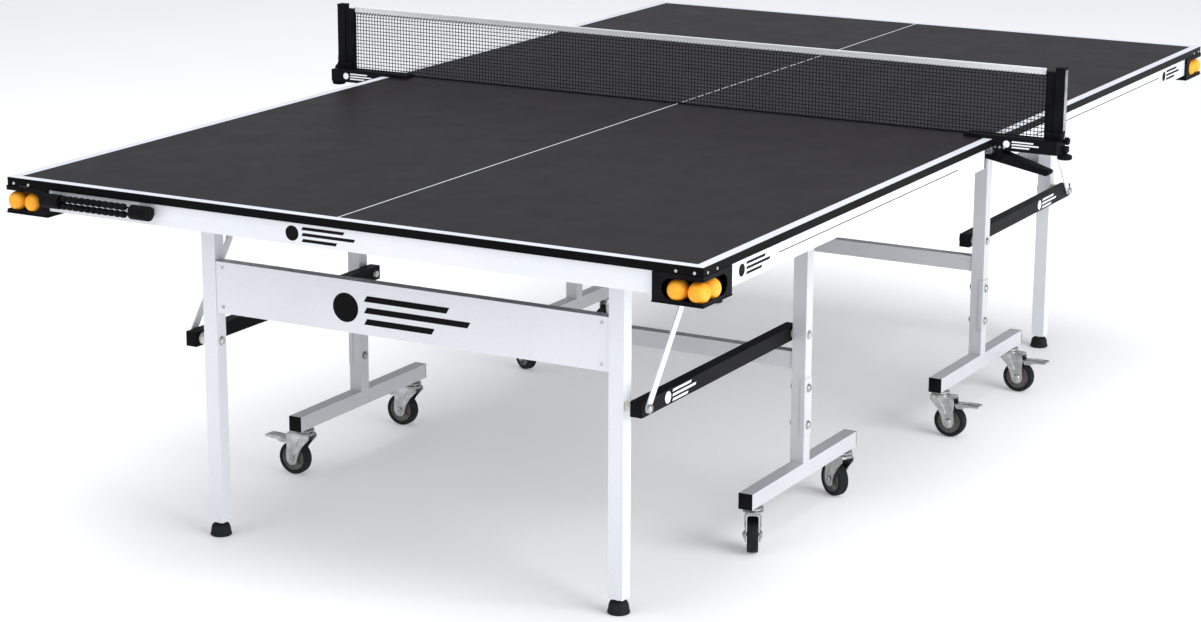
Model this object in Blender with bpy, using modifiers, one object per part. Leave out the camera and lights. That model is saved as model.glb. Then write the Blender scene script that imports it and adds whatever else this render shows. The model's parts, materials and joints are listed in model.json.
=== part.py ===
"""Folding two-part table tennis table on two wheeled trolleys, with a clamped net.

Metres, +Z up. X runs along the table, Y across it, and the origin is on the floor
under the middle of the net. The near half (X < 0) is modelled once, and the far half
is the same set of pieces turned half a turn about Z.
"""

import math

import bmesh
import bpy
from mathutils import Matrix, Vector

# ---------------------------------------------------------------- driving sizes
TABLE_LENGTH = 2.740
TABLE_WIDTH = 1.525
TABLE_HEIGHT = 0.760
PANEL_THICKNESS = 0.016
MIDDLE_GAP = 0.007          # between the two halves, so that either folds alone
FOLD_LINK_SHARE = 0.3882    # of the height, from the fold pivots to the side bars'

APRON_HEIGHT = 0.042
APRON_WIDTH = 0.020
APRON_INSET = 0.004
NET_RAIL_SETBACK = 0.0085   # net-side rail behind the panel's edge
SIDE_RAIL_SETBACK = 0.062   # side rails stop here, to leave room for the net clamp
SHEET = 0.002               # wall of the folded steel channels
INNER_RAIL_WIDTH = 0.038
INNER_RAIL_HEIGHT = 0.018
HOLDER_TIE_GAP = 0.012      # ball holder to the tie behind it

CHEEK = 0.003               # thickness of the hinge plates under the inner rails
HINGE_LENGTH = 0.040
HINGE_DROP = 0.014          # hinge plate below its pivot
STAY_HINGE_DROP = 0.012

TROLLEY_FROM_NET = 0.485
TROLLEY_TUBE = 0.030
TUBE_WALL = 0.0015
POST_HEAD = 0.012           # uprights and legs above their upper pivots
CROSSBAR_HEIGHT = 0.035
CROSSBAR_DEPTH = 0.025
CROSSBAR_DROP = 0.054       # side bars' pivots to the crossbar's middle
FOOT_RAIL_LENGTH = 0.500
FOOT_RAIL_HEIGHT = 0.033
SPLICE_BELOW = 0.0795       # crossbar's underside to the splice
SPLICE_LAP = 0.065
SPLICE_SEAT = 0.020         # inner sleeve below the splice
SPLICE_BOLT_RISE = 0.039

LEG_SETBACK = 0.255         # end line to the legs
LEG_INSET = 0.2995          # side line to the legs
LEG_WIDTH = 0.032
LEG_DEPTH = 0.030
LEG_PLUG = 0.025
END_PANEL_HEIGHT = 0.105
END_PANEL_DEPTH = 0.025
END_PANEL_DROP = 0.1805     # leg pivots to the end panel's middle
FOOT_RADIUS = 0.022
FOOT_TOP_RADIUS = 0.0165
FOOT_HEIGHT = 0.024
STEM_RADIUS = 0.005
STEM_LENGTH = 0.060
STEM_SHOWING = 0.006        # between the foot and the leg

BAR_HEIGHT = 0.030
BAR_WIDTH = 0.025
BAR_END = 0.018             # bar beyond each of its pivots
LEG_SPACER = 0.0165         # between the leg and the bar
POST_SPACER = 0.0055        # between the bar and the upright
SPACER_RADIUS = 0.011
PIN_RADIUS = 0.004
BOLT_HEAD_RADIUS = 0.0075
BOLT_HEAD = 0.0045
NUT_DEPTH = 0.006
LEG_PIN_REACH = 0.010       # leg pivot pin inside the leg's outer face

STAY_THICKNESS = 0.0025
STAY_LOWER_WIDTH = 0.018
STAY_UPPER_WIDTH = 0.014
STAY_REACH = 0.245          # leg pivot to the stay's upper pivot, along the table
STAY_RISE = 0.018
STAY_KNEE = 0.562           # share of the stay below its knee
KNEE_RIVET_RADIUS = 0.005
KNEE_RIVET_HEAD = 0.002

WHEEL_RADIUS = 0.037
WHEEL_WIDTH = 0.024
WHEEL_EDGE = 0.005
WHEEL_TOP_PLAY = 0.0157     # top of the wheel to the underside of the fork's crown
AXLE_RADIUS = 0.004
AXLE_END = 0.003
CASTER_INSET = 0.035        # swivel axis from the foot rail's end
CASTER_TRAIL = 0.026
FORK_PLATE = 0.0025
FORK_CROWN = 0.006
FORK_BACK = 0.018           # crown behind the swivel axis
FORK_LEG = 0.024            # width of the fork's plates
FORK_LEG_DROP = 0.013       # plates below the axle
SWIVEL_RADIUS = 0.020
SWIVEL_HEIGHT = 0.012
PEDAL_WIDTH = 0.026
PEDAL_LENGTH = 0.058
PEDAL_THICKNESS = 0.003
PEDAL_GAP = 0.014           # wheel's axle to the pedal, along the trail
PEDAL_DROP = 0.009
PEDAL_STEP = 0.002
PEDAL_PLATE = 0.0264        # length of the pedal before its step

HOLDER_LENGTH = 0.110
HOLDER_WIDTH = 0.100
HOLDER_DEPTH = 0.055
HOLDER_WALL = 0.0025
HOLDER_PROUD = 0.002
HOLDER_SIDE_GAP = 0.001     # to the apron's rails
WINDOW_HEIGHT = 0.038
WINDOW_SILL = 0.008
WINDOW_MARGIN = 0.018

NET_HEIGHT = 0.1525
NET_THICKNESS = 0.002
NET_LIFT = 0.001
POST_OUTSIDE = 0.1325       # side line to the net post
POST_SIZE = 0.020
POST_TOP = 0.003            # post above the net
SLEEVE_WIDTH = 0.0215
SLEEVE_DEPTH = 0.014
SLEEVE_DROP = 0.0055        # sleeve below the net's top
BRACKET_ARM = 0.065         # bracket arm inside the table's side edge
BRACKET_DEPTH = 0.038
BRACKET_THICKNESS = 0.006
BRACKET_DROP = 0.022        # bracket below the table's top, outside its edge
LUG_THICKNESS = 0.003
LUG_RADIUS = 0.0085
CLAMP_PIVOT_OUT = 0.013     # clamp pivot outside the side line
CLAMP_PIVOT_DROP = 0.0105   # clamp pivot below the bracket
CLAMP_PIN_RADIUS = 0.003
LEVER_HUB = 0.008
NOSE_REACH = 0.024          # lever's nose inside the side line
NOSE_THICKNESS = 0.007
LEVER_REACH = 0.1255        # side line to the lever's tip
LEVER_TIP = 0.009           # thickness at the tip
LEVER_DROP = 0.038          # bracket's underside to the top of the tip
LEVER_TIP_CHAMFER = 0.0035

SCORER_LENGTH = 0.172
SCORER_CAP_RADIUS = 0.014
SCORER_CAP_LENGTH = 0.042
SCORER_STEM = 0.014         # height of the block that carries each cap
SCORER_STEM_INSET = 0.004
SCORER_ROD_RADIUS = 0.0016
SCORER_ROD_SPACING = 0.0145
SCORER_GAP = 0.002          # to the panel's edge and underside
SCORER_HOLDER_GAP = 0.0035  # to the ball holder
BEAD_RADIUS = 0.0068
BEAD_NECK_RADIUS = 0.0037
BEAD_PITCH = 0.0143
BEAD_COUNT = 11

# ---------------------------------------------------------------- clearances
TOUCH = 0.0003              # gap between pieces that touch
PIN_PLAY = 0.0003           # radial play of each pivot pin in its hole
SWING_PLAY = 0.0005         # uprights' corners to the rail above them
HINGE_PLAY = 0.0015         # uprights to their hinge plates
LEG_RAIL_PLAY = 0.0025      # legs to the inner rails
STAY_PLAY = 0.0007          # stays to the pieces beside them
FORK_SIDE_PLAY = 0.0015
SLEEVE_PLAY = 0.0004        # inner sleeve in the upright
BRACKET_EDGE_PLAY = 0.001   # bracket to the panel's side edge
LEVER_PLAY = 0.0003
NET_END_PLAY = 0.0005
BEAD_BORE_PLAY = 0.0004
BEAD_END_PLAY = 0.001
OVERCUT = 0.002             # cutters beyond the faces that they open
OVERLAP = 0.002             # joined pieces into each other

ROUND_SIDES = 10            # facets of pins, bolts and holes
NUT_SIDES = 6
WHEEL_SIDES = 20
BEAD_SIDES = 8
STRAP_ARC_STEPS = 6
MERGE_DISTANCE = 0.000005
SCREW_MERGE = 0.00001
FLAT_ANGLE = math.radians(0.5)

CASTER_HEADINGS = {
    # piece of the object: (heading in degrees about Z, has a brake pedal)
    ("near", "left", "outer"): (90.0, True),
    ("near", "left", "inner"): (90.0, True),
    ("near", "right", "outer"): (26.0, False),
    ("near", "right", "inner"): (60.0, False),
    ("far", "left", "outer"): (90.0, True),
    ("far", "left", "inner"): (90.0, True),
    ("far", "right", "outer"): (-26.0, False),
    ("far", "right", "inner"): (-120.0, False),
}

# ---------------------------------------------------------------- sizes that follow
HALF_WIDTH = TABLE_WIDTH / 2
END_X = -TABLE_LENGTH / 2
NET_EDGE_X = -MIDDLE_GAP / 2
PANEL_BOTTOM = TABLE_HEIGHT - PANEL_THICKNESS
FRAME_TOP = PANEL_BOTTOM - TOUCH
APRON_BOTTOM = FRAME_TOP - APRON_HEIGHT
HOLE_RADIUS = PIN_RADIUS + PIN_PLAY

# The fold pivots sit low enough for the uprights' corners to swing under the rails.
HEAD_SWING = math.hypot(TROLLEY_TUBE / 2, POST_HEAD)
PIVOT_Z = FRAME_TOP - INNER_RAIL_HEIGHT - SWING_PLAY - HEAD_SWING
BAR_Z = PIVOT_Z - FOLD_LINK_SHARE * TABLE_HEIGHT
POST_TOP_Z = PIVOT_Z + POST_HEAD

LEG_X = END_X + LEG_SETBACK
LEG_Y = HALF_WIDTH - LEG_INSET
LEG_IN = LEG_Y - LEG_WIDTH / 2
LEG_OUT = LEG_Y + LEG_WIDTH / 2
LEG_BOTTOM = FOOT_HEIGHT + STEM_SHOWING
END_PANEL_Z = PIVOT_Z - END_PANEL_DROP
BAR_IN = LEG_OUT + LEG_SPACER
BAR_OUT = BAR_IN + BAR_WIDTH
BAR_Y = (BAR_IN + BAR_OUT) / 2
UPRIGHT_IN = BAR_OUT + POST_SPACER
UPRIGHT_OUT = UPRIGHT_IN + TROLLEY_TUBE
UPRIGHT_Y = (UPRIGHT_IN + UPRIGHT_OUT) / 2
INNER_RAIL_IN = LEG_OUT + LEG_RAIL_PLAY
INNER_RAIL_OUT = INNER_RAIL_IN + INNER_RAIL_WIDTH

TROLLEY_X = -TROLLEY_FROM_NET
CROSSBAR_Z = BAR_Z - CROSSBAR_DROP
CROWN_BOTTOM = 2 * WHEEL_RADIUS + WHEEL_TOP_PLAY
FOOT_RAIL_BOTTOM = CROWN_BOTTOM + FORK_CROWN + SWIVEL_HEIGHT + TOUCH
RAIL_TOP = FOOT_RAIL_BOTTOM + FOOT_RAIL_HEIGHT
SPLICE_Z = CROSSBAR_Z - CROSSBAR_HEIGHT / 2 - SPLICE_BELOW
PEDAL_X = CASTER_TRAIL + PEDAL_GAP
PEDAL_Z = CROWN_BOTTOM - PEDAL_DROP

STAY_LOWER_IN = BAR_OUT + STAY_PLAY
STAY_UPPER_IN = STAY_LOWER_IN + STAY_THICKNESS + STAY_PLAY
STAY_UPPER_OUT = STAY_UPPER_IN + STAY_THICKNESS
STAY_PLATE_IN = STAY_UPPER_OUT + STAY_PLAY
STAY_BASE = Vector((LEG_X, 0.0, BAR_Z))
STAY_HEAD = Vector((LEG_X + STAY_REACH, 0.0, PIVOT_Z + STAY_RISE))
STAY_KNEE_POINT = STAY_BASE.lerp(STAY_HEAD, STAY_KNEE)

HOLDER_X0 = END_X - HOLDER_PROUD
HOLDER_X1 = HOLDER_X0 + HOLDER_LENGTH
HOLDER_Y1 = HALF_WIDTH + HOLDER_PROUD
HOLDER_Y0 = HOLDER_Y1 - HOLDER_WIDTH

BRACKET_Y0 = HALF_WIDTH + BRACKET_EDGE_PLAY
POST_Y = HALF_WIDTH + POST_OUTSIDE
POST_IN = POST_Y - POST_SIZE / 2
POST_OUT = POST_Y + POST_SIZE / 2
NET_HALF_LENGTH = POST_IN - SLEEVE_WIDTH - NET_END_PLAY
BRACKET_LOW = TABLE_HEIGHT - BRACKET_DROP
CLAMP_Y = HALF_WIDTH + CLAMP_PIVOT_OUT
CLAMP_Z = BRACKET_LOW - CLAMP_PIVOT_DROP
NOSE_TOP = FRAME_TOP - INNER_RAIL_HEIGHT - TOUCH

SCORER_X = END_X - SCORER_CAP_RADIUS - SCORER_GAP
SCORER_Z = FRAME_TOP - SCORER_CAP_RADIUS - SCORER_GAP
SCORER_Y = HOLDER_Y0 - SCORER_HOLDER_GAP - SCORER_CAP_LENGTH - SCORER_LENGTH / 2

MATERIALS = {
    # name: (colour, roughness, metallic)
    "playing_panel": ((0.055, 0.050, 0.055), 0.55, 0.0),
    "white_steel": ((0.86, 0.87, 0.90), 0.35, 0.0),
    "grey_steel": ((0.72, 0.73, 0.75), 0.40, 0.0),
    "black_steel": ((0.012, 0.012, 0.013), 0.40, 0.0),
    "zinc_steel": ((0.62, 0.62, 0.60), 0.35, 1.0),
    "black_plastic": ((0.015, 0.015, 0.016), 0.45, 0.0),
    "foot_rubber": ((0.020, 0.020, 0.020), 0.75, 0.0),
    "caster_tyre": ((0.10, 0.10, 0.11), 0.60, 0.0),
    "net_mesh": ((0.020, 0.020, 0.020), 0.80, 0.0),
}


# ---------------------------------------------------------------- scene
def clear_scene():
    for obj in list(bpy.data.objects):
        bpy.data.objects.remove(obj, do_unlink=True)
    for collection in list(bpy.data.collections):
        bpy.data.collections.remove(collection)


def new_collection(name):
    collection = bpy.data.collections.new(name)
    bpy.context.scene.collection.children.link(collection)
    return collection


def make_materials():
    made = {}
    for name, (colour, roughness, metallic) in MATERIALS.items():
        material = bpy.data.materials.new(name)
        material.use_nodes = True
        shader = material.node_tree.nodes["Principled BSDF"]
        shader.inputs["Base Color"].default_value = (*colour, 1.0)
        shader.inputs["Roughness"].default_value = roughness
        shader.inputs["Metallic"].default_value = metallic
        made[name] = material
    return made


clear_scene()
PARTS = new_collection("ping_pong_table")
CUTTERS = new_collection("cutters")
CUTTERS.hide_render = True
MATERIAL = make_materials()


# ---------------------------------------------------------------- solids
def link_tool(mesh):
    tool = bpy.data.objects.new("tool", mesh)
    tool.display_type = "WIRE"
    tool.hide_render = True
    CUTTERS.objects.link(tool)
    return tool


def from_bmesh(bm):
    mesh = bpy.data.meshes.new("solid")
    bm.to_mesh(mesh)
    bm.free()
    return link_tool(mesh)


def box(x, y, z):
    """A box between two limits on each axis, given in either order."""
    limits = [sorted(pair) for pair in (x, y, z)]
    bm = bmesh.new()
    bmesh.ops.create_cube(bm, size=1.0)
    for vert in bm.verts:
        # Exact limits keep the faces of neighbouring boxes truly coplanar.
        vert.co = [limits[axis][1 if vert.co[axis] > 0 else 0] for axis in range(3)]
    return from_bmesh(bm)


def cone(start, end, radius, end_radius=None, segments=ROUND_SIDES):
    """A round bar, or a cone, from one point to another."""
    start = Vector(start)
    end = Vector(end)
    length = (end - start).length
    turn = (end - start).to_track_quat("Z", "Y").to_matrix().to_4x4()
    bm = bmesh.new()
    bmesh.ops.create_cone(
        bm, cap_ends=True, segments=segments, radius1=radius,
        radius2=radius if end_radius is None else end_radius, depth=length,
        matrix=Matrix.Translation((start + end) / 2) @ turn)
    return from_bmesh(bm)


def across(x, z, y0, y1, radius, segments=ROUND_SIDES):
    """A round bar that runs across the table."""
    return cone((x, min(y0, y1), z), (x, max(y0, y1), z), radius, segments=segments)


def prism(outline, side, x):
    """A (y, z) outline, mirrored for the right side, carried between two x."""
    bm = bmesh.new()
    ends = [[bm.verts.new((limit, side * y, z)) for y, z in outline] for limit in x]
    bm.faces.new(ends[0][::-1])
    bm.faces.new(ends[1])
    for k in range(len(outline)):
        after = (k + 1) % len(outline)
        bm.faces.new((ends[0][k], ends[0][after], ends[1][after], ends[1][k]))
    bmesh.ops.recalc_face_normals(bm, faces=bm.faces)
    return from_bmesh(bm)


def strap(start, end, width, y0, y1):
    """A flat bar with round ends, lying in the XZ plane, from a 2D curve."""
    start = Vector((start.x, start.z))
    end = Vector((end.x, end.z))
    along = (end - start).normalized()
    heading = math.atan2(along.y, along.x)
    points = []
    for centre, first in ((end, heading - math.pi / 2), (start, heading + math.pi / 2)):
        for step in range(STRAP_ARC_STEPS + 1):
            angle = first + math.pi * step / STRAP_ARC_STEPS
            points.append(centre + Vector((math.cos(angle), math.sin(angle))) * width / 2)
    curve = bpy.data.curves.new("outline", "CURVE")
    curve.dimensions = "2D"
    curve.fill_mode = "BOTH"
    curve.extrude = abs(y1 - y0) / 2
    spline = curve.splines.new("POLY")
    spline.points.add(len(points) - 1)
    for point, place in zip(spline.points, points):
        point.co = (place.x, place.y, 0.0, 1.0)
    spline.use_cyclic_u = True
    outline = bpy.data.objects.new("outline", curve)
    CUTTERS.objects.link(outline)
    bpy.context.view_layer.update()
    mesh = bpy.data.meshes.new_from_object(
        outline.evaluated_get(bpy.context.evaluated_depsgraph_get()))
    bpy.data.objects.remove(outline, do_unlink=True)
    stand = Matrix.Translation((0.0, (y0 + y1) / 2, 0.0)) @ Matrix.Rotation(math.pi / 2, 4, "X")
    bm = bmesh.new()
    bm.from_mesh(mesh)
    bmesh.ops.remove_doubles(bm, verts=bm.verts, dist=SCREW_MERGE)
    bmesh.ops.transform(bm, matrix=stand, verts=bm.verts)
    bmesh.ops.recalc_face_normals(bm, faces=bm.faces)
    return from_bmesh(bm)


def turned(profile, steps):
    """A solid of revolution about Z from a closed (radius, height) profile."""
    bm = bmesh.new()
    loop = [bm.verts.new((radius, 0.0, height)) for radius, height in profile]
    for first, second in zip(loop, loop[1:] + loop[:1]):
        bm.edges.new((first, second))
    tool = from_bmesh(bm)
    screw = tool.modifiers.new("turn", "SCREW")
    screw.axis = "Z"
    screw.angle = math.tau
    screw.steps = steps
    screw.render_steps = steps
    screw.use_merge_vertices = True
    screw.merge_threshold = SCREW_MERGE
    screw.use_normal_calculate = True
    return bake(tool)


def bake(tool):
    """Apply the tool's modifiers to its mesh."""
    bpy.context.view_layer.update()
    mesh = bpy.data.meshes.new_from_object(
        tool.evaluated_get(bpy.context.evaluated_depsgraph_get()))
    tool.modifiers.clear()
    tool.data = mesh
    return tool


def solid(adds, cuts=()):
    """One closed solid: the first piece, with the others joined on, then the cuts."""
    body = adds[0]
    steps = [("UNION", tool) for tool in adds[1:]] + [("DIFFERENCE", tool) for tool in cuts]
    for operation, tool in steps:
        boolean = body.modifiers.new("boolean", "BOOLEAN")
        boolean.operation = operation
        boolean.solver = "EXACT"
        boolean.object = tool
    bake(body)
    for _, tool in steps:
        bpy.data.objects.remove(tool, do_unlink=True)
    mesh = body.data
    bpy.data.objects.remove(body, do_unlink=True)
    bm = bmesh.new()
    bm.from_mesh(mesh)
    bmesh.ops.dissolve_degenerate(bm, edges=bm.edges, dist=MERGE_DISTANCE)
    bmesh.ops.remove_doubles(bm, verts=bm.verts, dist=MERGE_DISTANCE)
    bmesh.ops.dissolve_limit(bm, angle_limit=FLAT_ANGLE, verts=bm.verts, edges=bm.edges)
    bm.to_mesh(mesh)
    bm.free()
    return mesh


def node(name, mesh, material, origin):
    """A named part whose own origin is its pivot; the mesh is given in world places."""
    origin = Vector(origin)
    mesh.transform(Matrix.Translation(-origin))
    mesh.name = name
    mesh.materials.clear()
    mesh.materials.append(MATERIAL[material])
    for polygon in mesh.polygons:
        polygon.use_smooth = False
    obj = bpy.data.objects.new(name, mesh)
    obj.location = origin
    PARTS.objects.link(obj)
    return obj


def far_copy(obj):
    """The far half's copy of a near part, turned half a turn about Z."""
    copy = bpy.data.objects.new(obj.name.replace("near_", "far_", 1), obj.data)
    copy.location = (-obj.location.x, -obj.location.y, obj.location.z)
    copy.rotation_euler = (0.0, 0.0, math.pi)
    PARTS.objects.link(copy)
    return copy


# ---------------------------------------------------------------- tabletop
def panel():
    top = box((END_X, NET_EDGE_X), (-HALF_WIDTH, HALF_WIDTH), (PANEL_BOTTOM, TABLE_HEIGHT))
    return node("near_panel", solid([top]), "playing_panel", (TROLLEY_X, 0.0, PIVOT_Z))


def apron_channels():
    """The four sides of the frame under the panel, with a gap at each ball holder."""
    side_z = (APRON_BOTTOM, FRAME_TOP)
    side_hollow_z = (APRON_BOTTOM + SHEET, FRAME_TOP - SHEET)
    net_z = (FRAME_TOP - INNER_RAIL_HEIGHT, FRAME_TOP)
    net_hollow_z = (net_z[0] + SHEET, FRAME_TOP - SHEET)
    outer_x = END_X + APRON_INSET
    net_x = NET_EDGE_X - NET_RAIL_SETBACK
    outer_y = HALF_WIDTH - APRON_INSET
    inner_y = outer_y - APRON_WIDTH
    side_x = NET_EDGE_X - SIDE_RAIL_SETBACK
    holder_x = HOLDER_X1 + HOLDER_SIDE_GAP
    holder_y = HOLDER_Y0 - HOLDER_SIDE_GAP
    adds = [box((outer_x, outer_x + APRON_WIDTH), (-holder_y, holder_y), side_z),
            box((net_x - APRON_WIDTH, net_x), (-outer_y, outer_y), net_z)]
    cuts = [box((outer_x + SHEET, outer_x + APRON_WIDTH + OVERCUT),
                (-holder_y - OVERCUT, holder_y + OVERCUT), side_hollow_z),
            box((net_x - APRON_WIDTH - OVERCUT, net_x - SHEET),
                (-outer_y + SHEET, outer_y - SHEET), net_hollow_z)]
    for side in (-1, 1):
        adds.append(box((holder_x, side_x), (side * inner_y, side * outer_y), side_z))
        cuts.append(box((holder_x - OVERCUT, side_x - SHEET),
                        (side * (inner_y - OVERCUT), side * (outer_y - SHEET)), side_hollow_z))
    return adds, cuts


def apron_inner_rails():
    """The channels over the legs and trolley, and the ties that carry the side rails."""
    z = (FRAME_TOP - INNER_RAIL_HEIGHT, FRAME_TOP)
    hollow_z = (z[0] - OVERCUT, FRAME_TOP - SHEET)
    rail_x = (END_X + APRON_INSET + SHEET / 2, NET_EDGE_X - NET_RAIL_SETBACK - SHEET / 2)
    tie_x = (HOLDER_X1 + HOLDER_TIE_GAP, HOLDER_X1 + HOLDER_TIE_GAP + APRON_WIDTH)
    tie_in = INNER_RAIL_OUT - SHEET
    tie_out = HALF_WIDTH - APRON_INSET - SHEET / 2
    adds = []
    cuts = []
    for side in (-1, 1):
        adds.append(box(rail_x, (side * INNER_RAIL_IN, side * INNER_RAIL_OUT), z))
        adds.append(box(tie_x, (side * tie_in, side * tie_out), z))
        cuts.append(box((rail_x[0] + SHEET, rail_x[1] - SHEET),
                        (side * (INNER_RAIL_IN + SHEET), side * (INNER_RAIL_OUT - SHEET)),
                        hollow_z))
        cuts.append(box((tie_x[0] + SHEET, tie_x[1] - SHEET),
                        (side * (INNER_RAIL_OUT + SHEET), side * (tie_out - SHEET)), hollow_z))
    return adds, cuts


def hinge_plates():
    """The hinge plates and pins for the trolley, the legs and the stays."""
    half = HINGE_LENGTH / 2
    plate_z = (PIVOT_Z - HINGE_DROP, FRAME_TOP - SHEET / 2)
    block_z = (FRAME_TOP - INNER_RAIL_HEIGHT, FRAME_TOP)
    fold_x = (TROLLEY_X - half, TROLLEY_X + half)
    leg_x = (LEG_X - half, LEG_X + half)
    stay_x = (STAY_HEAD.x - half, STAY_HEAD.x + half)
    fold_in = UPRIGHT_IN - HINGE_PLAY - CHEEK
    fold_out = UPRIGHT_OUT + HINGE_PLAY
    rail_side = INNER_RAIL_OUT - SHEET
    stay_block_z = (STAY_HEAD.z + STAY_UPPER_WIDTH / 2 + OVERCUT, FRAME_TOP)
    adds = []
    for side in (-1, 1):
        adds.append(box(fold_x, (side * rail_side, side * (fold_out + CHEEK)), block_z))
        for inner in (fold_in, fold_out):
            adds.append(box(fold_x, (side * inner, side * (inner + CHEEK)), plate_z))
        adds.append(across(TROLLEY_X, PIVOT_Z, side * (fold_in + CHEEK / 2),
                           side * (fold_out + CHEEK + BOLT_HEAD / 2), PIN_RADIUS))
        adds.append(box(leg_x, (side * INNER_RAIL_IN, side * (INNER_RAIL_IN + CHEEK)), plate_z))
        adds.append(across(LEG_X, PIVOT_Z, side * (LEG_OUT - LEG_PIN_REACH),
                           side * (INNER_RAIL_IN + CHEEK / 2), PIN_RADIUS))
        adds.append(box(stay_x, (side * rail_side, side * (STAY_PLATE_IN + CHEEK)), stay_block_z))
        adds.append(box(stay_x, (side * STAY_PLATE_IN, side * (STAY_PLATE_IN + CHEEK)),
                        (STAY_HEAD.z - STAY_HINGE_DROP, FRAME_TOP)))
        adds.append(across(STAY_HEAD.x, STAY_HEAD.z, side * (STAY_UPPER_IN - STAY_PLAY / 2),
                           side * (STAY_PLATE_IN + CHEEK / 2), PIN_RADIUS))
    return adds


def apron_frame():
    side_adds, side_cuts = apron_channels()
    rail_adds, rail_cuts = apron_inner_rails()
    mesh = solid(side_adds + rail_adds + hinge_plates(), side_cuts + rail_cuts)
    return node("near_apron_frame", mesh, "white_steel", (TROLLEY_X, 0.0, PIVOT_Z))


def ball_holder(side_name, side):
    """A corner box for spare balls, with a window that wraps round the corner."""
    z0 = FRAME_TOP - HOLDER_DEPTH
    wall = HOLDER_WALL
    radius = WINDOW_HEIGHT / 2
    window_z = z0 + WINDOW_SILL + radius
    window_side = HOLDER_Y0 + WINDOW_MARGIN + radius
    window_back = HOLDER_X1 - WINDOW_MARGIN - radius
    end_cut_x = (HOLDER_X0 - OVERCUT, HOLDER_X0 + wall + OVERCUT)
    side_cut_y = (side * (HOLDER_Y1 - wall - OVERCUT), side * (HOLDER_Y1 + OVERCUT))
    cut_z = (window_z - radius, window_z + radius)
    shell = box((HOLDER_X0, HOLDER_X1), (side * HOLDER_Y0, side * HOLDER_Y1), (z0, FRAME_TOP))
    hollow = box((HOLDER_X0 + wall, HOLDER_X1 - wall),
                 (side * (HOLDER_Y0 + wall), side * (HOLDER_Y1 - wall)),
                 (z0 + wall, FRAME_TOP + OVERCUT))
    cuts = [hollow,
            box(end_cut_x, (side * window_side, side_cut_y[1]), cut_z),
            box((end_cut_x[0], window_back), side_cut_y, cut_z),
            cone((end_cut_x[0], side * window_side, window_z),
                 (end_cut_x[1], side * window_side, window_z), radius, segments=WHEEL_SIDES),
            cone((window_back, side_cut_y[0], window_z),
                 (window_back, side_cut_y[1], window_z), radius, segments=WHEEL_SIDES)]
    return node("near_ball_holder_" + side_name, solid([shell], cuts), "black_plastic",
                (HOLDER_X0, side * HOLDER_Y1, FRAME_TOP))


# ---------------------------------------------------------------- end legs
def leg_tubes():
    """Both square legs, open at the top, with a plug for the levelling foot's stem."""
    x = (LEG_X - LEG_DEPTH / 2, LEG_X + LEG_DEPTH / 2)
    plug_top = LEG_BOTTOM + LEG_PLUG
    adds = []
    cuts = []
    for side in (-1, 1):
        y = (side * LEG_IN, side * LEG_OUT)
        hollow_y = (side * (LEG_IN + TUBE_WALL), side * (LEG_OUT - TUBE_WALL))
        adds.append(box(x, y, (LEG_BOTTOM, POST_TOP_Z)))
        cuts.append(box((x[0] + TUBE_WALL, x[1] - TUBE_WALL), hollow_y,
                        (plug_top, POST_TOP_Z + OVERCUT)))
        cuts.append(cone((LEG_X, side * LEG_Y, LEG_BOTTOM - OVERCUT),
                         (LEG_X, side * LEG_Y, plug_top + OVERCUT), STEM_RADIUS + PIN_PLAY))
        cuts.append(across(LEG_X, PIVOT_Z, side * (LEG_OUT - TUBE_WALL - OVERCUT),
                           side * (LEG_OUT + OVERCUT), HOLE_RADIUS))
    return adds, cuts


def leg_frame():
    adds, cuts = leg_tubes()
    x = (LEG_X - END_PANEL_DEPTH / 2, LEG_X + END_PANEL_DEPTH / 2)
    z = (END_PANEL_Z - END_PANEL_HEIGHT / 2, END_PANEL_Z + END_PANEL_HEIGHT / 2)
    adds.append(box(x, (-LEG_IN - TUBE_WALL / 2, LEG_IN + TUBE_WALL / 2), z))
    cuts.append(box((x[0] + SHEET, x[1] + OVERCUT), (-LEG_IN + SHEET, LEG_IN - SHEET),
                    (z[0] + SHEET, z[1] - SHEET)))
    # The bolts go in after the tubes are hollowed, so that they cross them whole.
    frame = link_tool(solid(adds, cuts))
    bolts = []
    for side in (-1, 1):
        bolts.append(across(LEG_X, BAR_Z, side * (LEG_IN - BOLT_HEAD),
                            side * (STAY_UPPER_IN + BOLT_HEAD / 2), PIN_RADIUS))
        bolts.append(across(LEG_X, BAR_Z, side * (LEG_IN - BOLT_HEAD),
                            side * (LEG_IN + TUBE_WALL / 2), BOLT_HEAD_RADIUS))
        bolts.append(across(LEG_X, BAR_Z, side * (LEG_OUT - TUBE_WALL / 2),
                            side * (BAR_IN - PIN_PLAY), SPACER_RADIUS))
        bolts.append(across(LEG_X, BAR_Z, side * (STAY_UPPER_IN - PIN_PLAY),
                            side * (STAY_UPPER_IN + BOLT_HEAD), BOLT_HEAD_RADIUS))
    return node("near_leg_frame", solid([frame] + bolts), "white_steel", (LEG_X, 0.0, PIVOT_Z))


def leveller(side_name, side):
    y = side * LEG_Y
    foot = cone((LEG_X, y, 0.0), (LEG_X, y, FOOT_HEIGHT), FOOT_RADIUS, FOOT_TOP_RADIUS,
                segments=WHEEL_SIDES)
    stem = cone((LEG_X, y, FOOT_HEIGHT - OVERLAP), (LEG_X, y, FOOT_HEIGHT + STEM_LENGTH),
                STEM_RADIUS)
    return node("near_leveller_" + side_name, solid([foot, stem]), "foot_rubber", (LEG_X, y, 0.0))


# ---------------------------------------------------------------- trolley
def tube_cut(x, y, z, wall):
    return box((x[0] + wall, x[1] - wall), (y[0] + wall, y[1] - wall), z)


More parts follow.
